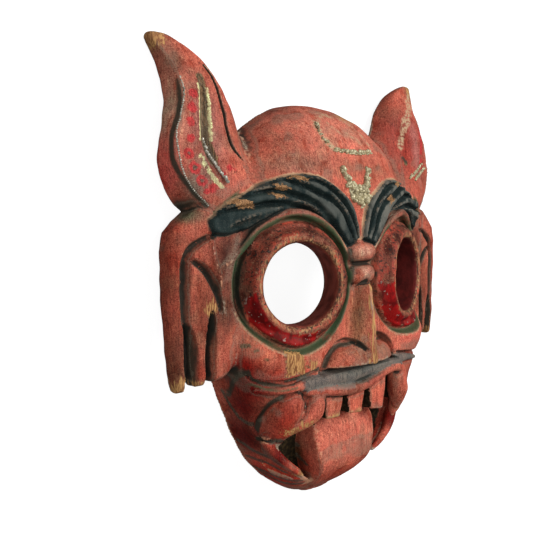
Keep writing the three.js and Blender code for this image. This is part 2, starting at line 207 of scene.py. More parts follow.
def addTube(path, radius, blend, side="both"):
    reach = radius.max() + blend + 2

    def shape(p, f):
        gap, place = nearPath(p, path)
        return softMin(f, gap - alongPath(radius, place), blend)
    work(path.min(0) - reach, path.max(0) + reach, shape, side)


# A rounded ridge that stands on the face: its half width and height run along the path
def addRidge(points, halfWidth, height, blend=1.0, count=28, side="both"):
    path, normal = facePath(points, count)
    t = np.linspace(0, 1, count)
    w, h = halfWidth(t), height(t)
    radius = (w * w + h * h) / (2 * h)
    addTube(path + normal * (h - radius)[:, None], radius, blend, side)


def cutGroove(points, halfWidth, depth, sharp=1.0, count=28, reach=14, side="both"):
    path, normal = facePath(points, count)
    t = np.linspace(0, 1, count)
    w, d = halfWidth(t), depth(t)
    room = w.max() + 1

    def shape(p, f):
        across, place, out = acrossPath(p, path, normal)
        u = across / alongPath(w, place)
        vee = np.clip(1 - u, 0, 1)
        cut = alongPath(d, place) * (sharp * vee + (1 - sharp) * bump(u))
        return f + cut * (np.abs(out) < reach)
    work(path.min(0) - reach - room, path.max(0) + reach + room, shape, side)


def polygonDistance(x, y, corners):
    corners = np.array(corners, float)
    best = np.full(len(x), 1e9)
    inside = np.zeros(len(x), bool)
    for (ax, ay), (bx, by) in zip(corners, np.roll(corners, -1, axis=0)):
        ex, ey = bx - ax, by - ay
        s = np.clip(((x - ax) * ex + (y - ay) * ey) / (ex * ex + ey * ey), 0, 1)
        best = np.minimum(best, (x - ax - s * ex) ** 2 + (y - ay - s * ey) ** 2)
        crosses = (ay > y) != (by > y)
        inside ^= crosses & (x < ex * (y - ay) / (ey if ey else 1e-9) + ax)
    return np.where(inside, -1, 1) * np.sqrt(best)


def ellipsoidDistance(p, centre, size):
    q = (p - np.array(centre)) / np.array(size)
    ratio = np.linalg.norm(q, axis=1)
    slope = np.linalg.norm(q / np.array(size), axis=1) + 1e-9
    return ratio * (ratio - 1) / slope


cheek = {"at": (61, -42, 27), "size": (28, 20, 27)}
addForm((28, -66, 0), (98, -16, 60), lambda p: ellipsoidDistance(p, cheek["at"], cheek["size"]), blend=7)

# Eye: a ring round a straight hole, turned outwards a little
eye = {
    "at": np.array((52.5, 0, 48.0)), "turn": math.radians(17), "hole": 25.0,
    "ring": [(24, 3.0), (25.2, 4.2), (26.8, 5.8), (29.2, 6.5), (31.2, 5.6), (34, 2.2), (36.4, -1.6),
             (38, -4)],
    "ringEdge": 37.6, "groove": 38.8, "grooveHalf": 3.2, "grooveDepth": 4.4, "reach": 22,
    "box": ((10, -34), (96, 34)),  # X and Y of the part of the face that the hole is cut from
}
eyeAxis = np.array((math.sin(eye["turn"]), 0, math.cos(eye["turn"])))
ringProfile = splinePoints(eye["ring"], 60)


def eyePlace(p):
    q = p - eye["at"]
    rise = q @ eyeAxis
    return np.linalg.norm(q - rise[:, None] * eyeAxis, axis=1), rise


def eyeGroove(p, f):
    radius, rise = eyePlace(p)
    cut = eye["grooveDepth"] * bump((radius - eye["groove"]) / eye["grooveHalf"])
    return f + cut * (np.abs(rise) < eye["reach"])


def eyeRing(p):
    radius, rise = eyePlace(p)
    top = np.interp(radius, ringProfile[:, 0], ringProfile[:, 1])
    return np.maximum(0.8 * (rise - top), radius - eye["ringEdge"])


def eyeHole(p):
    return eyePlace(p)[0] - eye["hole"]


# Horn: a leaf between four edges, with an arris between its front and its outer side
horn = {
    "outerBack": [(105, 41, 9), (117.5, 53, 8), (124, 72, 8), (120.5, 92, 8), (117, 110, 6), (120, 128, 3),
                  (126.5, 141.5, 2.5)],
    "arris": [(101, 43, 30), (112, 54, 29), (122.5, 74, 26), (120, 92, 25.5), (115.5, 108, 24),
              (116.6, 125, 17), (124.5, 142, 8.5)],
    "innerFront": [(74, 54, 38), (78, 64, 35), (82, 78, 30), (86, 100, 25), (87.5, 118, 20),
                   (95, 133.5, 13.5), (116, 145, 9)],
    "innerBack": [(64, 62, 10), (62, 74, 9), (64, 88, 8), (71, 106, 8), (81.5, 122, 5), (96, 134.5, 3),
                  (117, 145.5, 2.5)],
    "bulge": {"outer": 2.4, "front": 2.2, "inner": 3.6, "back": 0.5}, "flatFrom": 60, "flatOver": 85,
    "foot": (105, 35), "footSlope": 0.5, "top": 145.2,
}
hornEdges = {key: splinePoints(horn[key], 80) for key in ("outerBack", "arris", "innerFront", "innerBack")}


def hornCorner(key, y):
    edge = hornEdges[key]
    order = np.argsort(edge[:, 1])
    return [np.interp(y, edge[order, 1], edge[order, axis]) for axis in (0, 2)]


def hornDistance(p):
    y = p[:, 1]
    loop = [("outerBack", "arris", "outer"), ("arris", "innerFront", "front"),
            ("innerFront", "innerBack", "inner"), ("innerBack", "outerBack", "back")]
    fade = 1 - np.clip((y - horn["flatFrom"]) / horn["flatOver"], 0, 1) ** 3
    distance = None
    for start, end, side in loop:
        ax, az = hornCorner(start, y)
        bx, bz = hornCorner(end, y)
        ex, ez = bx - ax, bz - az
        length = np.sqrt(ex * ex + ez * ez) + 1e-6
        s = np.clip(((p[:, 0] - ax) * ex + (p[:, 2] - az) * ez) / length ** 2, 0, 1)
        swell = horn["bulge"][side] * 4 * s * (1 - s) * fade
        plane = (ez * (p[:, 0] - ax) - ex * (p[:, 2] - az)) / length - swell
        distance = plane if distance is None else softMax(distance, plane, 1.6)
    footX, footY = horn["foot"]
    foot = 0.89 * (footY + (footX - p[:, 0]) * horn["footSlope"] - y)
    return softMax(np.maximum(distance, foot), y - horn["top"], 3)


addForm((50, 25, 0), (130, 150, 50), hornDistance, blend=9)

# Ear: a slab with a cut shoulder, folded along the temple and parted into blunt fingers at the bottom
ear = {
    "back": 10, "edge": 128.6, "tips": {"near": -58.5, "far": -52.5}, "round": 5.5,
    "fold": [(-60, 94), (-15, 96.3), (0, 99), (20, 104), (42, 107)],  # Y and X of the temple line
    "foldHeight": 31.8, "inward": 0.09, "outward": {"near": 0.32, "far": 0.1},
    "folds": [
        {"points": [(100.5, 31, 31), (107, 29.3, 29.5), (112, 26.4, 28.5), (116.4, 22.8, 27), (119, 17.3, 26),
                    (119.6, 0.7, 26), (119, -16, 26), (118, -32, 26)], "half": 3.6, "depth": 5.0},
        {"points": [(118, -20, 26), (116.8, -30, 26), (116, -46, 26), (116, -64, 26)], "half": 4.6,
         "depth": 15},
        {"points": [(118, 18, 26.5), (111.5, 14.1, 28), (107, 9.7, 29.5), (102.9, 3.1, 30.6),
                    (100.2, -3.5, 31.4), (98.6, -14, 31.5)], "half": 3.3, "depth": 5.0},
        {"points": [(103.6, -13, 30.6), (104.5, -26.8, 30), (105, -41, 30), (105, -51.5, 30), (105, -66, 30)],
         "half": 3.5, "depth": 15},
    ],
}


def earOutline(tip):
    edge = ear["edge"]
    return [(80, 47), (110, 46.4), (120, 39.2), (126, 33), (edge, 22), (edge, -5), (edge - 2, tip + 18),
            (edge - 3.4, tip + 5), (123.5, tip), (119.6, tip + 0.4), (117.4, tip + 4), (114, tip + 2.4),
            (108, tip + 2.6), (105, tip + 6), (102, tip + 3.8), (96.5, tip + 4.8), (92, tip + 9), (86, -44),
            (78, -30)]


def earDistance(p, side):
    flat = polygonDistance(p[:, 0], p[:, 1], earOutline(ear["tips"][side])) + ear["round"]
    out = p[:, 0] - np.interp(p[:, 1], *np.array(ear["fold"]).T)
    front = ear["foldHeight"] - np.where(out > 0, ear["outward"][side], ear["inward"]) * out
    half = (front - ear["back"]) / 2
    thick = np.abs(p[:, 2] - ear["back"] - half) - half + ear["round"]
    outside = np.sqrt(np.maximum(flat, 0) ** 2 + np.maximum(thick, 0) ** 2)
    return outside + np.minimum(np.maximum(flat, thick), 0) - ear["round"]


for side in ear["tips"]:
    addForm((70, -74, 0), (136, 56, 44), lambda p, side=side: earDistance(p, side), blend=3.0, side=side)
for fold in ear["folds"]:
    cutGroove(fold["points"], spindle(fold["half"], end=0.35), spindle(fold["depth"], end=0.15), sharp=0.6,
              count=30, reach=16)

# Brow: a raised field over the face and the horn's root, parted into strands by long grooves
brow = {
    "top": [(107.5, 40), (101.5, 43.9), (93.4, 50.6), (87, 53), (81.5, 56.2), (73, 60.2), (65, 62.8),
            (58, 65), (49, 66.4), (38.5, 66.1), (32, 64.7), (21.6, 59.2), (8.7, 49.5), (3.8, 37.5),
            (1.8, 26)],
    "low": [(14.8, 20.6), (25, 32.7), (38, 42.6), (47.6, 45), (56, 45.6), (63.6, 43.6), (70.8, 39.9),
            (77.3, 36.2), (81.6, 33.4), (88, 31.6), (96.3, 29.9), (104.6, 30.4), (107, 33.6)],
    "rise": 3.8, "edge": (-0.4, 2.4), "farEnd": 92, "grooveHalf": 2.6, "grooveDepth": 4.2,
    "grooves": [
        [(49.1, 62.3), (38, 61.7), (29.3, 58.4), (17, 49.4), (8.9, 37.5), (5.4, 26.7)],
        [(67.8, 59.9), (59.6, 62), (53.7, 60.3), (45.9, 57.9), (37.3, 54.1), (27, 50.2), (19.1, 43.4),
         (13.5, 33.4), (9.4, 25.5)],
        [(92, 51.6, 33), (79.8, 54, 34), (67.1, 55.7, 41), (59.7, 54.9, 45), (52.3, 52.4, 48), (45.2, 50, 51),
         (37.8, 46.2, 53), (28, 37.6, 54), (19.9, 28.5, 55), (13.4, 21.8, 55)],
        [(103, 43, 31), (93.6, 44.9, 32), (82.5, 46.3, 34), (74.9, 47.7, 38), (68.4, 48.3, 41),
         (63.1, 48, 44), (53.1, 46.8, 48), (41.7, 44.1, 51), (29.4, 35.2, 54), (20, 25.8, 55)],
    ],
}
browOutline = np.concatenate([splinePoints(brow["top"], 50), splinePoints(brow["low"], 40)])


def browInside(p, side):
    inside = -polygonDistance(p[:, 0], p[:, 1], browOutline)
    return inside if side == "near" else np.minimum(inside, 0.6 * (brow["farEnd"] - p[:, 0]))


for side in ("near", "far"):
    work((0, 14, 20), (114, 72, 70),
         lambda p, f, side=side: f - brow["rise"] * smoothStep(browInside(p, side), *brow["edge"]), side)
for groove in brow["grooves"]:
    cutGroove(groove, spindle(brow["grooveHalf"], end=0.3), spindle(brow["grooveDepth"], end=0.35), sharp=0.6,
              count=34)

eyelid = [(101.2, 10.8, 31), (96, 13, 31.5), (86.5, 19.6, 33), (81.3, 26.7, 36), (76.2, 33.3, 39),
          (70.5, 37, 42), (63.2, 41.3, 45), (55.3, 43.2, 48), (44, 41.1, 51), (30.6, 34.6, 53),
          (21.6, 27.1, 54), (12.4, 16.7, 54.5)]
work((8, -46, 15), (106, 46, 70), eyeGroove)
addRidge(eyelid, spindle(2.5, end=0.4), spindle(2.6, end=0.3), blend=1.2, count=40)
addForm((8, -46, 12), (100, 46, 70), eyeRing, blend=0.8)

# Two rounded bars cross the bridge between the eyes
bridge = {"bars": [(17.4, 14.2), (3.6, 12.6)], "radius": 6.6, "at": 52.4,
          "gaps": [((0, 10.4, 57), (15, 3.6, 5)), ((0, -4.2, 57), (14, 3.2, 4.5))]}


def bridgeBars(p):
    distance = None
    for y, half in bridge["bars"]:
        beyond = np.maximum(np.abs(p[:, 0]) - half + 6, 0)
        q = np.column_stack([beyond, p[:, 1] - y, p[:, 2] - bridge["at"]])
        bar = np.linalg.norm(q, axis=1) - bridge["radius"] - 0.5 * bump(p[:, 0] / 12)
        distance = bar if distance is None else np.minimum(distance, bar)
    return distance


for (at, size), (low, high) in zip(bridge["gaps"], ((-8, 26), (-10, 4))):
    cutForm((0, low, 40), (18, high, 70), lambda p, at=at, size=size: ellipsoidDistance(p, at, size),
            blend=1.5)
addForm((0, -8, 40), (22, 30, 66), bridgeBars, blend=0.8)

# Nose: a wedge with a sharp ridge, and a half-moon wing each side
nose = {"top": -3, "tip": -54, "ridge": 66.5, "rise": 3.5, "half": 23, "topHalf": 6.5,
        "flank": ((0, 0.06, 0.3, 0.55, 1, 1.6), (1, 0.985, 0.74, 0.55, 0, -1.1))}
wing = {"at": (16.8, -54.6, 55), "size": (16, 12.4, 7.4), "under": -54.6, "lean": math.radians(15)}


def noseDistance(p):
    t = np.clip((nose["top"] - p[:, 1]) / (nose["top"] - nose["tip"]), 0, 1)
    half = nose["topHalf"] + (nose["half"] - nose["topHalf"]) * t ** 1.4
    ridge = nose["ridge"] - nose["rise"] * (1 - t) ** 2
    foot = faceHeight(half, p[:, 1]) - 2
    s = np.abs(p[:, 0]) / half
    share = np.interp(s, *nose["flank"])
    flank = 0.78 * (p[:, 2] - foot - share * (ridge - foot))
    body = softMax(flank, nose["tip"] - p[:, 1], 1.6)
    return softMax(body, p[:, 1] - nose["top"], 2)


def wingDistance(p):
    q = p - np.array(wing["at"])
    cos, sin = math.cos(wing["lean"]), math.sin(wing["lean"])
    lens = np.column_stack([q[:, 0] * cos - q[:, 2] * sin, q[:, 1], q[:, 0] * sin + q[:, 2] * cos])
    return softMax(ellipsoidDistance(lens, (0, 0, 0), wing["size"]), wing["under"] - p[:, 1], 1.8)


addForm((0, -60, 30), (30, 4, 72), noseDistance, blend=1.2)
addForm((0, -64, 30), (48, -34, 70), wingDistance, blend=1.0)
wingLine = [(38, -57.5, 53), (34.4, -50.5, 54), (30, -45.2, 55), (24.8, -41.2, 56.5), (18.8, -39, 58),
            (12.5, -39, 60), (8, -41.6, 61.5), (4.6, -45, 63)]
cutGroove(wingLine, fading(3.4, end=0.4), fading(6.5, end=0.3), sharp=0.5, count=30)

cheekCrease = [(83, -51.6), (80.6, -55.2), (74.7, -57.4), (66.3, -58.4), (57.6, -57.3), (46.5, -55.2),
               (41, -53.4)]
cutGroove(cheekCrease, spindle(3.2, end=0.25), spindle(5.6, end=0.2), sharp=0.5, count=30, reach=18)

# Mouth: a blind pocket first, then what hangs in it
mouth = {
    "pocket": [(-62, 36, 42), (-72, 40, 38), (-84, 50, 30), (-92, 58, 27), (-100, 59.5, 25), (-108, 55, 23.5),
               (-116, 46, 22), (-124, 37, 21), (-132, 25, 20)],
    "pocketEnds": (-133, -62), "tongueEnds": (-146, -85), "lean": 3.5,
    "tongue": [(-85, 25, 35), (-90.5, 27, 39), (-95, 28, 40.8), (-108, 28.2, 42.6), (-117, 27, 42.4),
               (-125, 25, 40), (-133, 21.5, 33.5), (-140, 16, 23), (-146, 10, 12)],
}
pocketTable, tongueTable = [splinePoints(mouth[key], 60)[::-1] for key in ("pocket", "tongue")]


def tableAt(table, y):
    return [np.interp(y, table[:, 0], table[:, column]) for column in (1, 2)]


def pocketDistance(p):
    half, floor = tableAt(pocketTable, p[:, 1])
    side = softMax(0.85 * (p[:, 0] - half), floor - p[:, 2], 3)
    low, high = mouth["pocketEnds"]
    return np.maximum(side, np.maximum(p[:, 1] - high, low - p[:, 1]))


def tongueDistance(p):
    half, front = tableAt(tongueTable, p[:, 1])
    half = half + np.where(p[:, 0] < 0, mouth["lean"] * smoothStep(p[:, 1], -132, -100), 0)
    crown = front + 1.6 * (1 - (p[:, 0] / half) ** 2)
    side = softMax(np.abs(p[:, 0]) - half, 0.9 * (p[:, 2] - crown), 2.4)
    low, high = mouth["tongueEnds"]
    return np.maximum(side, np.maximum(p[:, 1] - high, np.maximum(low - p[:, 1], 6 - p[:, 2])))


cutForm((0, -140, 12), (66, -66, 72), pocketDistance, blend=1.2)
work((-44, -150, 0), (36, -78, 50),
     lambda p, f: softMin(f, tongueDistance(p), 0.6 + 6 * smoothStep(-p[:, 1], 124, 140)), "whole")

teeth = {"middles": (-25, -2.7, 20.4), "bottoms": (-87, -88, -90), "half": 11, "taper": 0.6, "top": -60,
         "front": 52, "back": 36}


def toothDistance(p, middle, bottom):
    t = np.clip((teeth["top"] - p[:, 1]) / (teeth["top"] - bottom), 0, 1)
    half = teeth["half"] * (1 - (1 - teeth["taper"]) * t)
    front = teeth["front"] + 1.4 * (1 - t) - 0.012 * (p[:, 0] - middle) ** 2
    side = softMax(np.abs(p[:, 0] - middle) - half, p[:, 2] - front, 1.3)
    side = softMax(side, bottom - 0.12 * (p[:, 0] - middle) - p[:, 1], 1.3)
    return np.maximum(side, np.maximum(p[:, 1] - teeth["top"], teeth["back"] - p[:, 2]))


for middle, bottom in zip(teeth["middles"], teeth["bottoms"]):
    addForm((middle - 12, -94, 30), (middle + 12, -58, 60),
            lambda p, middle=middle, bottom=bottom: toothDistance(p, middle, bottom), blend=0.5,
            side="whole")

# Moustache and upper lip run right across, the far end of the lip turning down round the far fang.
# Each point is X, Y and half width.
lips = {
    "moustache": [(-79, -61.6, 1.4), (-72, -62, 2), (-64, -62, 2.6), (-53, -61, 3.6), (-44, -60.6, 4.4),
                  (-33, -60.8, 5), (-22, -61.4, 5.2), (-8, -61.8, 5), (3, -61, 4.6), (14, -59.9, 4.2),
                  (25, -58.9, 4), (37, -58, 3.8), (48, -58.2, 3.2), (58, -59.2, 2.2), (68, -60.8, 1)],
    "upper": [(-51, -65, 1.4), (-43, -66, 2.4), (-36, -66.6, 3), (-23, -68.2, 3.4), (-8, -69.4, 3.6),
              (4, -68.6, 3.6), (14, -66.4, 3.4), (22, -64.4, 3), (30, -62.9, 2.8), (37, -62.6, 2.7),
              (43, -64.4, 2.8), (46.8, -69, 2.9), (48, -76, 3), (47.5, -85, 2.8), (46, -92, 2)],
    "lobes": {"near": [(50, -66.5), (55, -70), (59.5, -74.5), (62.4, -80), (64.4, -86), (65.6, -90.5),
                       (66, -94)],
              "far": [(46, -66), (50, -72), (52.5, -80), (53, -88), (52, -95), (50, -101)]},
    "lobeHalf": {"near": 10, "far": 5.0}, "lobeHeight": {"near": 5.4, "far": 3.0},
}


def lipRidge(rows, height, blend):
    rows = np.array(rows)
    share = np.linspace(0, 1, len(rows))
    addRidge(rows[:, :2], lambda t: np.interp(t, share, rows[:, 2]),
             lambda t: height * np.interp(t, share, np.minimum(1, 0.45 + rows[:, 2] / 7)), blend, 70, "whole")


lipRidge(lips["moustache"], height=3.8, blend=1.2)
lipRidge(lips["upper"], height=6.2, blend=0.7)
for side, path in lips["lobes"].items():
    half, height = lips["lobeHalf"][side], lips["lobeHeight"][side]
    addRidge(path, spindle(half, end=0.25), spindle(height, end=0.25), blend=0.9, count=36, side=side)
lobeLine = [(57, -63.4), (66.7, -66.6), (72.4, -70.8), (74, -77), (71.6, -86.4), (66.4, -97)]
cutGroove(lobeLine, spindle(2.4, end=0.4), spindle(3.0, end=0.3), sharp=0.6, reach=16, side="near")

fang = {"path": [(43, -66.5, 49), (42.6, -73, 50), (44, -77.5, 49.8), (48.5, -81.5, 48.5),
                 (55.5, -86.5, 44.5), (63, -92, 38)],
        "farPath": [(42.5, -66, 49), (43.5, -73, 51), (44.5, -80, 51), (46, -86, 49.5), (48.5, -91, 47),
                    (51, -95, 44)],
        "radius": (5.6, 7.4, 7.6, 6.4, 4.8, 2.4), "farShare": 0.92}
fangRadius = np.interp(np.linspace(0, 1, 32), np.linspace(0, 1, 6), fang["radius"])
addTube(splinePoints(fang["path"], 32), fangRadius, blend=2.6, side="near")
addTube(splinePoints(fang["farPath"], 32), fangRadius * fang["farShare"], blend=0.6, side="far")

tusk = {"path": [(65.5, -96.5), (61.8, -103.5), (54.4, -111.8), (45, -119), (37, -124.8)], "half": 4.4,
        "height": 4.6}
addRidge(tusk["path"], fading(tusk["half"], end=0.3), fading(tusk["height"], end=0.4), blend=0.8)

# Grooves cut last: the corner of the mouth, beside the fang and tusk, under the nose, the horn's long gouge
# and the crack along its inner edge, and the temple's fold, which is raised and so has a depth below nothing.
# Half width and depth each come with the share of them that is left at the ends.
lateGrooves = {
    "corner": {"points": [(70, -94.6, 32), (66.6, -95.8, 36), (61.8, -93.6, 42)],
               "halfWidth": (1.6, 0.4), "depth": (2, 0.3), "sharp": 0.6, "count": 20, "side": "near"},
    "fangSide": {"points": [(57.4, -83.6, 47), (53, -79.4, 50), (50.2, -74, 52.4), (48.6, -68.8, 53.6)],
                 "halfWidth": (1.8, 0.4), "depth": (0.8, 0.3), "sharp": 0.6, "count": 20, "side": "near"},
    "tuskSide": {"points": [(70.4, -98, 28), (67, -104.6, 31), (59.4, -113, 33), (49.4, -120.6, 33),
                            (38, -128, 32)],
                 "halfWidth": (2.4, 0.4), "depth": (1.6, 0.3), "sharp": 0.5, "reach": 16},
    "underNose": {"points": [(39, -57.4, 53), (33, -55.8, 54), (27, -55.6, 55.5), (20, -55.6, 57),
                             (10, -55.8, 59.5), (2, -55.6, 61)],
                  "halfWidth": (2.2, 0.6), "depth": (5.6, 0.3), "sharp": 0.7, "count": 30},
    "gouge": {"points": [(100.7, 122.4, 18.3), (101.8, 112.5, 23.7), (102.9, 103.7, 26.1),
                         (103.7, 95.2, 26.6), (104.5, 84, 27.1), (102.5, 74, 28.2), (99, 66.2, 30.7),
                         (96.6, 59.3, 34.5)],
              "halfWidth": (4.2, 0.3), "depth": (3.6, 0.3), "sharp": 0.35, "count": 34, "side": "near"},
    "crack": {"points": [(94.7, 128.3, 14.3), (90.9, 123.4, 16.5), (89.1, 116.2, 19.8), (88.7, 107.2, 23.5),
                         (87.6, 100, 24.6), (87.6, 90.8, 27.6), (86.2, 83.5, 28.8), (83.5, 78.4, 30),
                         (78.5, 74.3, 29.9)],
              "halfWidth": (1.7, 0.35), "depth": (4.0, 0.3), "sharp": 0.9, "count": 40, "side": "near"},
    "temple": {"points": [(107, 41.5, 31), (106.2, 34.2, 31), (104.7, 27.4, 31), (103.8, 20.1, 31),
                          (101.8, 13.2, 31.2), (99.7, 6.8, 31.6), (98.6, -3, 31.9), (96.3, -15.3, 32)],
               "halfWidth": (1.9, 0.5), "depth": (-1.3, 0.4), "sharp": 0.5, "count": 30},
}
for groove in lateGrooves.values():
    cutGroove(**{**groove, "halfWidth": spindle(*groove["halfWidth"]), "depth": spindle(*groove["depth"])})

knife = {"seed": 7, "depth": 0.22, "lengths": (9, 26), "waves": 9}
dice = np.random.default_rng(knife["seed"])
knifeTurns = dice.normal(size=(knife["waves"], 3))
knifeTurns *= (2 * np.pi / dice.uniform(*knife["lengths"], (knife["waves"], 1)) /
               np.linalg.norm(knifeTurns, axis=1)[:, None])
knifePhase = dice.uniform(0, 2 * np.pi, knife["waves"])


def handWork(p):  # the slight unevenness of cutting by hand
    return knife["depth"] * np.sin(p @ knifeTurns.T + knifePhase).sum(1) / math.sqrt(knife["waves"])


def maskField(points):
    whole = np.array(points, float)
    p = whole * np.where(np.arange(3) == 0, np.sign(whole), 1)
    far = whole[:, 0] >= 0
    f = dishDistance(p, headDish)
    for step in carving:
        q = whole if step["side"] == "whole" else p
        hit = ((q >= step["low"]) & (q <= step["high"])).all(1)
        if step["side"] in ("near", "far"):
            hit &= far == (step["side"] == "far")
        near = np.nonzero(hit)[0]
        if len(near):
            f[near] = step["shape"](q[near], f[near])
    f = f + handWork(whole)
    f = softMax(f, -dishDistance(p, hollowDish), 1.0)
    low, high = np.array(eye["box"])
    near = np.nonzero(((p[:, :2] > low) & (p[:, :2] < high)).all(1))[0]
    f[near] = softMax(f[near], -eyeHole(p[near]), 1.4)
    return np.maximum(f, -p[:, 2])


# Closed quads round every change of sign in the field
def netSurface(step):
    low = np.array((*gridLow, -1.6 * step))
    count = np.ceil((np.array(gridHigh) - low) / step).astype(int) + 1
    axes = [low[i] + step * np.arange(count[i]) for i in range(3)]
    values = np.empty(count, np.float32)
    slab = 12
    for start in range(0, count[1], slab):
        ys = axes[1][start:start + slab]
        grid = np.stack(np.meshgrid(axes[0], ys, axes[2], indexing="ij"), -1)
        values[:, start:start + slab] = maskField(grid.reshape(-1, 3)).reshape(grid.shape[:3])
    inside = values < 0
    corner = [(i, j, k) for i in (0, 1) for j in (0, 1) for k in (0, 1)]
    cells = count - 1

    def shifted(array, offset):
        return array[tuple(slice(o, o + n) for o, n in zip(offset, cells))]
    total = sum(shifted(inside, c).astype(np.int8) for c in corner)
    active = np.argwhere((total > 0) & (total < 8))
    sums = np.zeros((len(active), 3))
    hits = np.zeros(len(active))
    for a in corner:
        for axis in range(3):
            if a[axis]:
                continue
            b = tuple(c + (i == axis) for i, c in enumerate(a))
            va = values[tuple((active + a).T)]
            vb = values[tuple((active + b).T)]
            cross = (va < 0) != (vb < 0)
            share = np.where(cross, va / np.where(cross, va - vb, 1), 0)
            place = active + a + np.outer(share, np.eye(3)[axis])
            sums[cross] += place[cross]
            hits += cross
    vertices = low + step * sums / hits[:, None]
    number = np.full(cells, -1, np.int32)
    number[tuple(active.T)] = np.arange(len(active))
    quads = []
    for axis in range(3):
        b, c = (axis + 1) % 3, (axis + 2) % 3
        here = [slice(None)] * 3
        there = [slice(None)] * 3
        here[axis], there[axis] = slice(0, -1), slice(1, None)
        for k in (b, c):
            here[k] = there[k] = slice(1, -1)
        cross = np.argwhere(inside[tuple(here)] != inside[tuple(there)])
        offset = np.ones(3, int)
        offset[axis] = 0
        cross = cross + offset
        ring = []
        for db, dc in ((-1, -1), (0, -1), (0, 0), (-1, 0)):
            cell = cross.copy()
            cell[:, b] += db
            cell[:, c] += dc
            ring.append(number[tuple(cell.T)])
        quad = np.stack(ring, 1)
        turned = ~inside[tuple(cross.T)]
        quad[turned] = quad[turned][:, ::-1]
        quads.append(quad)
    return vertices, np.concatenate(quads)


def fieldSlope(points, step=0.35):
    slopes = [maskField(points + step * axis) - maskField(points - step * axis) for axis in np.eye(3)]
    return np.stack(slopes, 1) / (2 * step)


# Slides points on to the true surface, and keeps the flat back rim flat
def settle(points, rounds):
    for _ in range(rounds):
        slope = fieldSlope(points)
        steep = np.einsum("ij,ij->i", slope, slope)
        shift = maskField(points)[:, None] * slope / np.maximum(steep, 0.25)[:, None]
        points = points - np.clip(shift, -0.8, 0.8)
    points[:, 2] = np.maximum(points[:, 2], 0)
    return points


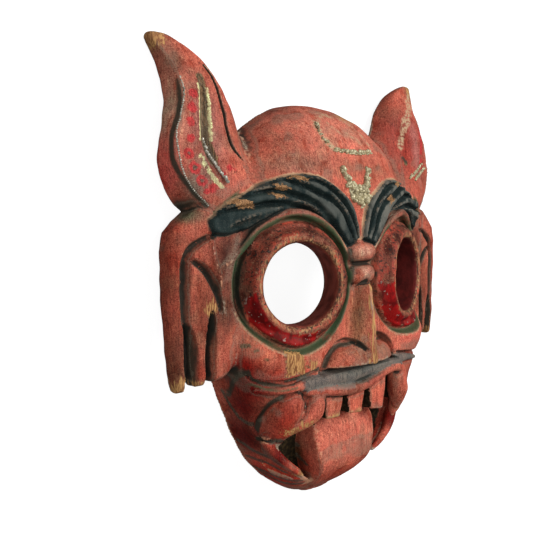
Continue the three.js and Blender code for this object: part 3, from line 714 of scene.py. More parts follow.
# Paint: where each colour lies, in millimetres inside its edge, so the material can cut ragged edges
farOut = -9.0  # stands for well outside an edge
zones = {  # limits that keep a layer to its own form: the skin outside the hollow, then X, Y or Z
    "skin": 2.2, "front": 22, "hornX": 72, "hornY": 44, "deepZ": 8, "ringZ": 18, "ringRise": -14, "lidY": 4,
    "lidZ": 26, "hairZ": 40, "hairEnd": -55, "lipTurn": 40, "noseZ": 58, "jawX": -25, "pocketX": 58,
    "pocketY": -64, "toothX": 33, "toothY": (-92, -72), "toothSlope": 0.72, "browGrey": (58, 84),
}
paint = {
    "half": {"creaseGreen": 0.6, "lipGrey": 1.7, "lime": 1.3, "gougeEdges": 0.8, "gougeWood": 2.8,
             "farPink": 1.8,
             "stripes": 1.5, "crack": 0.8, "browTop": 0.8},  # half widths of lines
    "creaseGreen": [(82, -57.5), (76, -60.6), (68, -61.6), (60, -61)],
    "joint": ((95, 49.5), (10, 1.8), 140),  # green where horn and brow meet: middle, half sizes, turn
    "lipGrey": [(-44, -64), (-36, -64.6), (-28, -65.6), (-20, -66.8), (-12, -67.4)],
    "unrubbed": (78, -62, 18),  # X, Y and reach of the place beside the mouth where edges keep their paint
    "stripes": [[(-65.5, 9), (-75, 11.3), (-83.1, 16.2), (-86.4, 25)], [(-101, 4), (-106, 16), (-108.5, 26)],
                [(-113.2, 5.5), (-115.1, 20.1), (-121.5, 29)], [(-122.8, 1.6), (-126, 17.3), (-130.4, 28.6)],
                [(-126.4, 4.6), (-131.9, 16.1), (-134, 25.8)]],  # Y and Z on the near jaw
    "dots": [(109.6, 109.7, 2.8), (111.5, 101.5, 3.1), (113.7, 93.6, 2.8), (114.1, 84.4, 2.6),
             (116.2, 75.8, 3.2), (113.4, 68.2, 3.6), (109.6, 61.2, 3.4), (102.9, 57, 3), (91.5, 68.9, 2.2),
             (99.5, 73, 1.6),
             (87.4, 66.9, 1.4), (96.3, 65.2, 1.3), (107, 55, 1.8)],  # X, Y and radius on the near horn
    "lime": [(109.8, 75.7), (106.9, 69.2), (102.7, 62.6), (98.6, 57.6)],
    "gougeEdges": [[(104.4, 116), (105.6, 106), (107, 95), (108.2, 84)],
                   [(98.4, 114), (99.2, 104.6), (100.4, 94), (101, 84)]],
    "gougeWood": [(101.2, 120), (102.4, 104), (103.6, 94), (104.4, 84), (101, 73)],
    "grimeAndShade": [  # soft dark lines along creases and edges, dark grime and painted shade: points, reach and side
        ([(115.3, 116.8, 18.6), (116.8, 107, 21.8), (119.6, 96.8, 23), (122.5, 88.4, 22), (124, 78.6, 22.4),
          (122.6, 68, 24), (116, 57, 27), (106, 47, 29)], 3, "near"),
        ([(70.7, -90, 27.7), (71.8, -80, 33), (70.2, -70.6, 40.5), (64.4, -64, 49)], 3.4, "near"),
        ([(65.7, -96, 23.9), (65.8, -95.6, 34.7), (60.7, -96.1, 39.9)], 3, "near"),
        ([(33, -52.4, 51), (29.3, -47.2, 50.8), (26.3, -44.1, 50.8), (18.9, -40.9, 52.1),
          (10.6, -40.4, 54.7)], 3.4, "both"),
        ([(85.4, -49.4, 37.7), (86.4, -54.3, 27.5), (80.2, -67.8, 13.3)], 3.4, "near"),
        ([(13.3, 19.3, 56.7), (10, 11.5, 55.4), (10.6, 3.4, 56), (8.4, -3.4, 54)], 2.8, "both"),
        ([(84.3, -51.8, 37.8), (79.3, -55.3, 37), (76.8, -57.3, 39.9), (69.6, -59, 43.9),
          (61.1, -59.2, 50.4)], 2.6, "near"),
        ([(62, -57.7, 44.8), (51.9, -56.6, 47.7), (40.8, -52.8, 52.6)], 2.4, "near"),
        ([(85.7, 84.7, 28.5), (87.8, 81.8, 29.8)], 2.8, "far"),
        ([(118, 44, 12), (112, 45, 22), (104, 45.6, 29)], 3.2, "near"),
    ],
    "dust": [  # lines in X and Y, and half width
        ([(-16.5, 104.1), (-21.5, 95.9), (-21.3, 88.6), (-15.4, 83.4)], 2.2),
        ([(-15, 105), (-6, 107), (5, 106.6), (13.2, 102.7), (21, 96.4), (24.4, 88)], 0.9),
        ([(-9, 100.4), (-5.3, 95.9), (6.1, 93.4), (16.3, 88.7)], 0.5),
        ([(118.2, 137.7), (109.1, 124.5), (93.8, 109.3), (85.5, 93.9)], 3.0),
    ],
    "farPink": [(114.4, 110), (112, 92), (108, 78)],
    "browWear": [((-88.6, 48.4), (9, 2.3), 168), ((-62.6, 58), (4.4, 1.6), 165), ((-51, 63.6), (6, 1.5), 175),
                 ((48, 63.5), (4, 2), 60), ((-66, 53), (4, 1.2), 170), ((36, 52), (5, 1.4), 40)],
    "chips": [[(-69.4, -38.4), (-63, -38.8), (-56.6, -40.7), (-52.2, -49.1), (-52, -56.6), (-58, -52),
               (-66.8, -54.3)],
              [(-48.8, -46.5), (-42.1, -48.2), (-42.8, -52.4), (-47.4, -52.3)]],
    "pits": [((-86.4, -34), (2.2, 1.4), 20), ((-79.2, -42), (1.3, 1), 0), ((-83.4, -36.6), (1.2, 0.9), 10),
             ((87.4, 81), (2.2, 2), 0)],
    "bare": [
        ((-122.6, -57.5, 21), (4.6, 7, 8)), ((-110.5, -56.5, 23), (5, 3.4, 8)),
        ((-105, -11, 29.4), (2.6, 3.2, 3)), ((-124, 141.5, 6), (7, 6.5, 8)), ((123, 141.5, 6), (7, 6.5, 8)),
        ((-57.5, -89, 48), (6, 2.6, 4.5)), ((-50.6, -85.6, 54), (4.5, 2, 3.5)),
        ((52, -92.5, 46), (3.2, 3.4, 5)), ((-40, -122.6, 34), (3, 3, 4)),
        ((122, -51, 24), (5.5, 4.5, 9)),
        ((-25, -87, 51), (6, 2, 3)), ((-3, -88, 51), (5, 1.4, 3)), ((20, 108, 30), (9, 3, 5)),
        ((0, -52, 66), (3.4, 4, 5)),
    ],
    "tints": [  # place, reach, colour and side
        ((0, 100, 40), (62, 20, 40), (0.50, 0.138, 0.092), "both"),
        ((45, 72, 42), (30, 7, 14), (0.30, 0.11, 0.07), "near"),
        ((125, 0, 20), (9, 60, 16), (0.27, 0.048, 0.027), "both"),
        ((108, -12, 28), (8, 34, 9), (0.25, 0.056, 0.031), "both"),
        ((124, -42, 22), (8, 22, 12), (0.15, 0.04, 0.022), "both"),
        ((96, -14, 32), (9, 16, 10), (0.15, 0.042, 0.025), "both"),
        ((114, 42, 24), (12, 5, 9), (0.13, 0.08, 0.048), "both"),
        ((119, 45, 20), (8, 4, 9), (0.06, 0.06, 0.035), "near"),
        # dark brown under the brow, between ear fold and eye: dark paint with painted shade
        ((94, 16, 33), (11, 20, 9), (0.06, 0.018, 0.011), "both"),
        # the two bars over the bridge: painted highlights, paler than the red round them
        ((0, 18, 58), (8, 4, 5), (0.52, 0.23, 0.16), "both"),
        ((0, 4, 58), (8, 4, 5), (0.52, 0.23, 0.16), "both"),
        ((78, -30, 42), (16, 14, 14), (0.68, 0.145, 0.08), "both"),
        ((80, -58, 34), (13, 13, 18), (0.16, 0.002, 0.001), "both"),
        ((88, -46, 36), (9, 7, 11), (0.26, 0.008, 0.004), "both"),
        ((78, -74, 24), (10, 13, 15), (0.15, 0.004, 0.002), "both"),
        # bright red along the near cheek's lower edge: red paint with a painted highlight
        ((64, -53, 46), (16, 5, 12), (0.52, 0.035, 0.02), "near"),
        ((68, -96, 14), (16, 16, 22), (0.10, 0.005, 0.003), "both"),
        ((44, -126, 18), (24, 18, 20), (0.50, 0.028, 0.013), "both"),
        ((66, -80, 48), (11, 16, 10), (0.28, 0.03, 0.016), "both"),
        ((104, 92, 28), (14, 40, 10), (0.28, 0.09, 0.068), "near"),
        # the horns' outer sides: red paint made brighter as painted light, where the lamps reach little
        ((121, 97, 16), (7, 27, 11), (0.58, 0.26, 0.175), "both"),
        ((123, 68, 15), (6, 18, 12), (0.80, 0.11, 0.085), "both"),
        ((112, 60, 28), (7, 9, 8), (0.19, 0.11, 0.08), "near"),
        ((80, 104, 14), (9, 24, 12), (0.40, 0.085, 0.055), "both"),
        ((96, 92, 22), (26, 36, 20), (0.26, 0.030, 0.020), "far"),
        ((104, 92, 27), (6, 26, 10), (0.38, 0.11, 0.09), "far"),
        ((62, -42, 46), (20, 12, 14), (0.62, 0.135, 0.095), "far"),
        ((122, 138, 8), (9, 9, 10), (0.24, 0.085, 0.05), "both"),
        ((115, 129, 15), (6, 9, 8), (0.19, 0.085, 0.055), "near"),
        ((8, -26, 58), (7, 24, 7), (0.25, 0.093, 0.046), "both"),
        ((17, -50, 58), (14, 9, 8), (0.39, 0.10, 0.058), "both"),
        ((0, -108, 45), (32, 18, 12), (0.56, 0.135, 0.087), "both"),
        ((0, -134, 36), (26, 10, 14), (0.46, 0.07, 0.036), "both"),
        ((0, -79, 52), (34, 11, 6), (0.52, 0.11, 0.066), "both"),
        ((0, -67, 60), (44, 5, 6), (0.36, 0.08, 0.053), "both"),
        ((62, -94, 42), (9, 10, 10), (0.40, 0.045, 0.025), "both"),
        ((58, -107, 35), (9, 11, 9), (0.14, 0.004, 0.002), "both"),
        ((30, -114, 21), (5, 15, 9), (0.065, 0.026, 0.010), "both"),
    ],
    "coral": (0.45, 0.10, 0.062),
}
# Rings round the eye: each band has its radius and half width
eyePaint = {
    "reach": 46, "green": (40.2, 2.0), "cream": (42.6, 0.5), "creamArc": (-125, -20), "red": (33.2, 3.4),
    "redArc": {"near": (-108, -8), "far": (-172, -60)}, "ring": 38.6, "rim": 28.8, "hole": 25.8,
    "holeReach": 27, "lid": (45, 6), "lidColour": (0.20, 0.08, 0.055), "ringBand": (32.5, 7),
    "ringColour": (0.15, 0.035, 0.021), "walls": {"near": (0.20, 0.04, 0.026), "far": (0.10, 0.010, 0.008)},
}


def ellipseInside(p, at, size, degrees):
    turn = math.radians(degrees)
    dx, dy = p[:, 0] - at[0], p[:, 1] - at[1]
    u = (dx * math.cos(turn) + dy * math.sin(turn)) / size[0]
    v = (dy * math.cos(turn) - dx * math.sin(turn)) / size[1]
    return (1 - np.sqrt(u * u + v * v)) * min(size)


def lineInside(p, points, half):
    path = splinePoints(points, 24)
    return half - nearPath(p[:, :path.shape[1]], path)[0]


def paintPlan(p):
    q = np.abs(p) * (1, 0, 0) + p * (0, 1, 1)
    sides = {"both": q, "near": p * (-1, 1, 1), "far": p}
    flat = q[:, :2]
    slope = fieldSlope(p)
    normal = slope / (np.linalg.norm(slope, axis=1)[:, None] + 1e-9)
    shell = dishDistance(q, hollowDish)
    outer = shell > zones["skin"]
    front = outer & (q[:, 2] > zones["front"])
    near = p[:, 0] < 0
    half = paint["half"]
    plan = {}

    def only(where, values):
        return np.where(where, values, farOut)

    def widen(name, values):
        plan[name] = np.maximum(plan[name], values)

    def closeness(reach):  # how much nearer than open ground the carving stands, a little above the surface
        above = p + normal * reach
        ground = np.clip(1 - dishDistance(above, headDish) / reach, 0, 1)
        return np.clip(1 - maskField(above) / reach - ground, 0, 2)

    # how deep each point lies in a hollow; it drives the dirt and painted shade in the hollows
    plan["cavity"] = np.clip(0.75 * closeness(1.6) + 0.6 * closeness(5), 0, 1.5)
    plan["edge"] = np.clip(1 + maskField(p - normal * 2.2) / 2.2, 0, 1)
    x, y, reach = paint["unrubbed"]
    plan["edge"] *= 1 - 0.85 * bump(np.minimum(np.hypot(q[:, 0] - x, q[:, 1] - y) / reach, 1))
    # painted shade: a soft darkening wherever carving stands close above a point, in hollows, creases and
    # under forms
    plan["shade"] = closeness(12)
    for line, reach, side in paint["grimeAndShade"]:
        gap = nearPath(sides[side], splinePoints(line, 24))[0]
        widen("shade", bump(np.minimum(gap / reach, 1)))
    plan["inside"] = np.where(q[:, 2] > 0.3, 1.6 - shell, 1.0)

    plan["brow"] = only(front, np.where(near, browInside(q, "near"), browInside(q, "far")))
    topLine = only(front, half["browTop"] - nearPath(flat, splinePoints(brow["top"], 50))[0])
    plan["browLine"] = only((plan["brow"] < 1.2) & (plan["brow"] > -2), topLine)
    plan["browGrey"] = np.where(near, 0.4 - 0.4 * smoothStep(q[:, 0], *zones["browGrey"]), 1)
    plan["browWear"] = np.max([ellipseInside(p, *row) for row in paint["browWear"]], 0)

    radius, rise = eyePlace(q)
    around = np.degrees(np.arctan2(q[:, 1], q[:, 0] - eye["at"][0]))
    ringed = outer & (radius < eyePaint["reach"]) & (q[:, 2] > zones["ringZ"]) & (rise > zones["ringRise"])

    def ringLine(middle, reach):
        return reach - np.abs(radius - middle)

    plan["green"] = only(ringed, ringLine(*eyePaint["green"]))
    # painted highlight: a pale line on the lower outer lip of the eye groove
    low, high = eyePaint["creamArc"]
    plan["cream"] = only(ringed & (around > low) & (around < high), ringLine(*eyePaint["cream"]))
    widen("green", only(front, lineInside(flat, paint["creaseGreen"], half["creaseGreen"])))
    widen("green", only(front, ellipseInside(q, *paint["joint"])))
    low, high = np.where(near[:, None], eyePaint["redArc"]["near"], eyePaint["redArc"]["far"]).T
    arc = np.radians(np.minimum(around - low, high - around)) * radius
    plan["eyeRed"] = only(ringed, np.minimum(ringLine(*eyePaint["red"]), 0.3 * arc))
    plan["ring"] = only(ringed, eyePaint["ring"] - radius)
    plan["rim"] = only(ringed, eyePaint["rim"] - radius)
    plan["hole"] = only((radius < eyePaint["holeReach"]) & (q[:, 2] > zones["deepZ"]),
                        eyePaint["hole"] - radius)

    def lipInside(rows, extra):
        path = splinePoints(rows, 70)
        gap, place = nearPath(p[:, :2], path[:, :2])
        return alongPath(path[:, 2], place) + extra - gap

    hair = only(front & (q[:, 2] > zones["hairZ"]), lipInside(lips["moustache"], 0.2))
    hair = np.minimum(hair, np.where(p[:, 0] < zones["lipTurn"], -lipInside(lips["upper"], -0.6), hair))
    plan["moustache"] = np.minimum(hair, 0.3 * (p[:, 0] - zones["hairEnd"]))
    plan["lipGrey"] = only(front, lineInside(p[:, :2], paint["lipGrey"], half["lipGrey"]))

    onHorn = outer & (q[:, 1] > zones["hornY"]) & (q[:, 0] > zones["hornX"]) & (q[:, 2] > zones["deepZ"])
    nearHorn, farHorn = onHorn & near, onHorn & ~near
    spots = np.max([size - np.hypot(q[:, 0] - x, q[:, 1] - y) for x, y, size in paint["dots"]], 0)
    plan["dots"] = np.where(nearHorn, spots, only(farHorn,
                                                  lineInside(flat, paint["farPink"], half["farPink"])))
    edges = [lineInside(flat, line, half["gougeEdges"]) for line in paint["gougeEdges"]]
    edges.append(lineInside(flat, paint["lime"], half["lime"]))
    plan["lime"] = only(nearHorn, np.max(edges, 0))
    plan["umber"] = only(nearHorn, lineInside(flat, paint["gougeWood"], half["gougeWood"]))
    bands = [lineInside(p[:, :2], *row) for row in paint["dust"]]
    plan["dust"] = only(outer & (q[:, 2] > zones["deepZ"]), np.max(bands, 0))

    t = np.clip((nose["top"] - p[:, 1]) / (nose["top"] - nose["tip"]), 0, 1)
    onRidge = front & (q[:, 2] > zones["noseZ"]) & (p[:, 1] < nose["top"]) & (p[:, 1] > nose["tip"] - 2)
    plan["bare"] = np.maximum(farOut, only(onRidge, 1.0 + 2.2 * t - np.abs(p[:, 0] - 0.8)))
    for at, size in paint["bare"]:
        widen("bare", (1 - np.linalg.norm((p - np.array(at)) / np.array(size), axis=1)) * min(size))
    for corners in paint["chips"]:
        chip = only(front, -polygonDistance(p[:, 0], p[:, 1], corners))
        widen("bare", 2.2 * chip)
        widen("umber", 0.5 - np.abs(chip + 0.3))
    for row in paint["pits"]:
        widen("umber", only(front, ellipseInside(p, *row)))
    lines = [lineInside(p[:, 1:], line, half["stripes"]) for line in paint["stripes"]]
    plan["stripe"] = only(outer & (p[:, 0] < zones["jawX"]), np.max(lines, 0))

    cracked = lineInside(flat, np.array(lateGrooves["crack"]["points"])[:, :2], half["crack"])
    low, high = zones["toothY"]
    flanks = outer & (np.abs(normal[:, 0]) > zones["toothSlope"]) & (q[:, 0] < zones["toothX"])
    flanks &= (p[:, 1] > low) & (p[:, 1] < high)
    hung = [tongueDistance(p)] + [toothDistance(p, *row) for row in zip(teeth["middles"], teeth["bottoms"])]
    sunk = np.minimum(-5.5 - dishDistance(q, headDish), np.min(hung, 0) - 0.7)
    # painted shadow with dirt: the side walls of the teeth near black; the horn's crack and the deep mouth
    # pocket dark as well
    plan["black"] = np.where(flanks, 1.5, only(nearHorn, cracked))
    widen("black", only(outer & (q[:, 0] < zones["pocketX"]) & (p[:, 1] < zones["pocketY"]), sunk))

    tint = np.tile(np.array(paint["coral"]), (len(p), 1))

    def stain(share, colour):
        tint[:] = tint + share[:, None] * (np.array(colour) - tint)

    for at, reach, colour, side in paint["tints"]:
        stain(np.exp(-(((sides[side] - np.array(at)) / np.array(reach)) ** 2).sum(1) ** 1.5), colour)
    middle, reach = eyePaint["lid"]
    lid = (q[:, 1] > zones["lidY"]) & (q[:, 2] > zones["lidZ"])
    stain(np.where(lid, 0.8 * bump((radius - middle) / reach), 0), eyePaint["lidColour"])
    walls = np.where(near[:, None], eyePaint["walls"]["near"], eyePaint["walls"]["far"])
    stain(np.where(plan["hole"] > -1, 1.0, 0), walls)
    middle, reach = eyePaint["ringBand"]
    stain(np.where(ringed & (plan["hole"] < -1), bump((radius - middle) / reach), 0), eyePaint["ringColour"])
    return plan, tint


def toRow(points):
    return (np.asarray(points, float) + np.array((0, rowShift, 0))) / 1000


def newObject(name, mesh):
    piece = bpy.data.objects.new(name, mesh)
    bpy.context.scene.collection.objects.link(piece)
    return piece


print("carving the field")
vertices, quads = netSurface(gridStep)
print("first surface", len(vertices), "points")
mesh = bpy.data.meshes.new("carvedMask")
mesh.from_pydata([], [], [])
mesh.vertices.add(len(vertices))
mesh.vertices.foreach_set("co", vertices.astype(np.float32).ravel())
mesh.loops.add(quads.size)
mesh.loops.foreach_set("vertex_index", quads.astype(np.int32).ravel())
mesh.polygons.add(len(quads))
mesh.polygons.foreach_set("loop_start", np.arange(0, quads.size, 4, dtype=np.int32))
mesh.update(calc_edges=True)
mesh.validate()
mask = newObject("carvedMask", mesh)

thin = mask.modifiers.new("thin", "DECIMATE")
thin.ratio = min(1.0, faceTarget / (2 * len(quads)))
thinned = bpy.data.meshes.new_from_object(mask.evaluated_get(bpy.context.evaluated_depsgraph_get()))
mask.modifiers.clear()
mask.data = thinned
print("thinned to", len(thinned.polygons), "faces")

points = np.empty(len(thinned.vertices) * 3, np.float32)
thinned.vertices.foreach_get("co", points)
points = settle(points.reshape(-1, 3).astype(float), 2)
thinned.vertices.foreach_set("co", toRow(points).astype(np.float32).ravel())
thinned.polygons.foreach_set("use_smooth", np.ones(len(thinned.polygons), bool))
thinned.update()
print("settled on the carving")

plan, tint = paintPlan(points)
for name, values in plan.items():
    layer = thinned.attributes.new(name, "FLOAT", "POINT")
    layer.data.foreach_set("value", values.astype(np.float32))
layer = thinned.attributes.new("tint", "FLOAT_COLOR", "POINT")
layer.data.foreach_set("color", np.column_stack([tint, np.ones(len(tint))]).astype(np.float32).ravel())
print("paint laid out in", len(plan) + 1, "layers")


# Small helpers for node trees: a value that is a socket is linked, any other is set
def addNode(tree, kind, inputs=(), **settings):
    made = tree.nodes.new(kind)
    for key, value in settings.items():
        setattr(made, key, value)
    for key, value in dict(inputs).items():
        if isinstance(value, bpy.types.NodeSocket):
            tree.links.new(value, made.inputs[key])
        else:
            made.inputs[key].default_value = value
    return made


def mathOf(tree, operation, *values):
    return addNode(tree, "ShaderNodeMath", enumerate(values), operation=operation).outputs[0]


def rampOf(tree, value, low, high, start=0.0, end=1.0):
    spans = {"Value": value, "From Min": low, "From Max": high, "To Min": start, "To Max": end}
    ramp = addNode(tree, "ShaderNodeMapRange", spans, interpolation_type="SMOOTHSTEP")
    return ramp.outputs["Result"]


def mixOf(tree, share, first, second, blend="MIX"):
    mix = addNode(tree, "ShaderNodeMix", {0: share}, data_type="RGBA", blend_type=blend)
    for index, value in ((6, first), (7, second)):
        if isinstance(value, bpy.types.NodeSocket):
            tree.links.new(value, mix.inputs[index])
        else:
            mix.inputs[index].default_value = (*value, 1)
    return mix.outputs[2]


def noiseOf(tree, place, scale, detail=3.0, stretch=None):
    if stretch:
        place = addNode(tree, "ShaderNodeMapping", {"Vector": place, "Scale": stretch}).outputs["Vector"]
    return addNode(tree, "ShaderNodeTexNoise",
                   {"Vector": place, "Scale": scale, "Detail": detail}).outputs["Fac"]


def toolsFor(tree):
    return [partial(tool, tree) for tool in (addNode, mathOf, rampOf, mixOf, noiseOf)]


# Dirt and painted shade: darkens the hollows, and breaks up over the rest
def dirtAndShadeGroup():
    tree = bpy.data.node_groups.new("dirtAndHollowShade", "ShaderNodeTree")
    for name, kind, way in (("Color", "Color", "INPUT"), ("Dirt And Shade Color", "Color", "INPUT"),
                            ("Hollow", "Float", "INPUT"), ("Amount", "Float", "INPUT"),
                            ("Scale", "Float", "INPUT"), ("Color", "Color", "OUTPUT"),
                            ("Mask", "Float", "OUTPUT")):
        tree.interface.new_socket(name, in_out=way, socket_type="NodeSocket" + kind)
    taken = tree.nodes.new("NodeGroupInput").outputs
    given = tree.nodes.new("NodeGroupOutput").inputs
    calc, ramp, mix, noise = toolsFor(tree)[1:]
    place = tree.nodes.new("ShaderNodeTexCoord").outputs["Object"]
    spread = noise(place, taken["Scale"], 4.0)
    settled = calc("ADD", taken["Hollow"], calc("MULTIPLY", calc("SUBTRACT", spread, 0.5), 0.7))
    mask = calc("MULTIPLY", ramp(settled, 0.17, 0.68), taken["Amount"])
    tree.links.new(mix(mask, taken["Color"], taken["Dirt And Shade Color"]), given["Color"])
    tree.links.new(mask, given["Mask"])
    return tree


dirtAndHollowShade = dirtAndShadeGroup()


def addDirtAndHollowShade(tree, colour, dirtColour, hollow, amount, scale):
    inputs = {"Color": colour, "Dirt And Shade Color": (*dirtColour, 1), "Hollow": hollow, "Amount": amount,
              "Scale": scale}
    return addNode(tree, "ShaderNodeGroup", inputs, node_tree=dirtAndHollowShade).outputs["Color"]


# Painted wood. Colours are linear, and noise scales are per metre.
wood = {
    "noise": {"grain": (1050, 4, (1, 0.09, 1)), "fine": (1600, 3), "speckle": (520, 5),
              "blotch": (150, 4, (1, 0.5, 1)), "patch": (38, 3), "fade": (62, 4), "fleck": (300, 2)},
    "edges": {  # how soft and how ragged the edge of each layer is, and the noise that cuts it
        "stripe": (0.5, 1.0), "dots": (0.6, 1.3), "umber": (0.6, 1.6), "lime": (0.4, 1.3),
        "dust": (1.6, 4.5, "blotch"), "eyeRed": (0.5, 3.4, "blotch"), "rim": (1.2, 5.0, "blotch"),
        "green": (0.7, 0.8), "cream": (0.5, 1.1), "brow": (0.3, 0.9), "browWear": (0.3, 2.2),
        "browLine": (0.4, 1.2), "moustache": (0.4, 1.2), "lipGrey": (0.8, 2.6), "bare": (1.1, 7.0, "grain"),
        "hole": (0.5, 0.7), "black": (0.5, 1.0), "inside": (0.5, 1.0),
    },
    "tones": {  # noise, its range, and the colours at the two ends
        "bareWood": ("grain", 0.4, 0.6, (0.17, 0.07, 0.026), (0.50, 0.27, 0.10)),
        "dab": ("speckle", 0.42, 0.6, (0.52, 0.03, 0.035), (0.34, 0.022, 0.022)),
        "umber": ("grain", 0.42, 0.58, (0.07, 0.036, 0.018), (0.27, 0.145, 0.07)),
        "red": ("blotch", 0.42, 0.58, (0.10, 0.002, 0.002), (0.29, 0.004, 0.004)),
        "rim": ("grain", 0.42, 0.58, (0.03, 0.022, 0.016), (0.42, 0.22, 0.10)),
        "rubbed": ("patch", 0.42, 0.58, (0.36, 0.28, 0.2), (0.58, 0.28, 0.16)),
        "strand": ("blotch", 0.36, 0.66, (0.006, 0.014, 0.014), (0.017, 0.029, 0.027)),
        "amber": ("fine", 0.4, 0.62, (0.12, 0.06, 0.03), (0.40, 0.21, 0.09)),
        "slate": ("blotch", 0.4, 0.64, (0.07, 0.078, 0.073), (0.13, 0.12, 0.10)),
        "pocket": ("speckle", 0.45, 0.65, (0.010, 0.007, 0.003), (0.036, 0.024, 0.010)),
        "back": ("grain", 0.38, 0.62, (0.13, 0.065, 0.03), (0.3, 0.17, 0.085)),
    },
    "fading": [  # noise, its range, most share, and what the colour is multiplied by
        ("fade", 0.46, 0.68, 0.62, (0.78, 1.25, 1.2)),  # dusty
        ("blotch", 0.52, 0.7, 1, (1.2, 1.05, 1.05)),  # fresh
        ("blotch", 0.48, 0.3, 0.9, (0.7, 0.45, 0.4)),  # deep
    ],
    "grit": [
        ("grain", 0.5, 0.66, 0.6, (0.45, 0.48, 0.48)),  # dark grain
        ("grain", 0.46, 0.3, 0.6, (1.35, 1.8, 1.6)),  # thin paint
        ("speckle", 0.5, 0.36, 0.35, (0.52, 0.42, 0.40)),  # dark spots
        ("speckle", 0.52, 0.66, 0.3, (1.32, 1.4, 1.35)),  # pale spots
        ("fine", 0.53, 0.66, 0.8, (1.4, 1.8, 1.75)),  # pale grit
        ("fine", 0.47, 0.34, 0.9, (0.34, 0.25, 0.25)),  # dark grit
    ],
    "ringGrit": [
        ("blotch", 0.5, 0.64, 1, (1.6, 1.05, 1.0), "MULTIPLY"),
        ("blotch", 0.48, 0.36, 0.9, (0.42, 0.4, 0.4), "MULTIPLY"),
        ("speckle", 0.57, 0.63, 0.85, (0.014, 0.012, 0.010), "MIX"),
        ("speckle", 0.39, 0.34, 0.5, (0.34, 0.18, 0.10), "MIX"),
    ],
    "stain": (0.24, 0.11, 0.045), "stripe": (0.07, 0.06, 0.043), "dabHeart": (0.14, 0.06, 0.045),
    "lime": (0.58, 0.50, 0.26), "dust": (0.42, 0.31, 0.185), "redFleck": (0.30, 0.20, 0.165),
    "grimeAndShade": (0.032, 0.031, 0.021), "dirtAndShade": (0.021, 0.020, 0.015), "haze": (0.17, 0.14, 0.10),
    "leaf": ((0.07, 0.085, 0.045), (0.022, 0.06, 0.026)), "cream": (0.40, 0.27, 0.16),
    "browLine": (0.46, 0.28, 0.16), "strandEdge": (0.17, 0.13, 0.095), "strandGrey": (0.15, 0.142, 0.118),
    "strandDeep": (0.004, 0.009, 0.009), "strandGrit": (0.08, 0.08, 0.066), "slateGrit": (0.22, 0.19, 0.15),
    "slateGrain": (0.035, 0.04, 0.038), "slateDeep": (0.02, 0.022, 0.018), "lipGrey": (0.20, 0.165, 0.135),
    "specular": 0.12, "relief": 0.55, "reliefDepth": 0.0009,
}


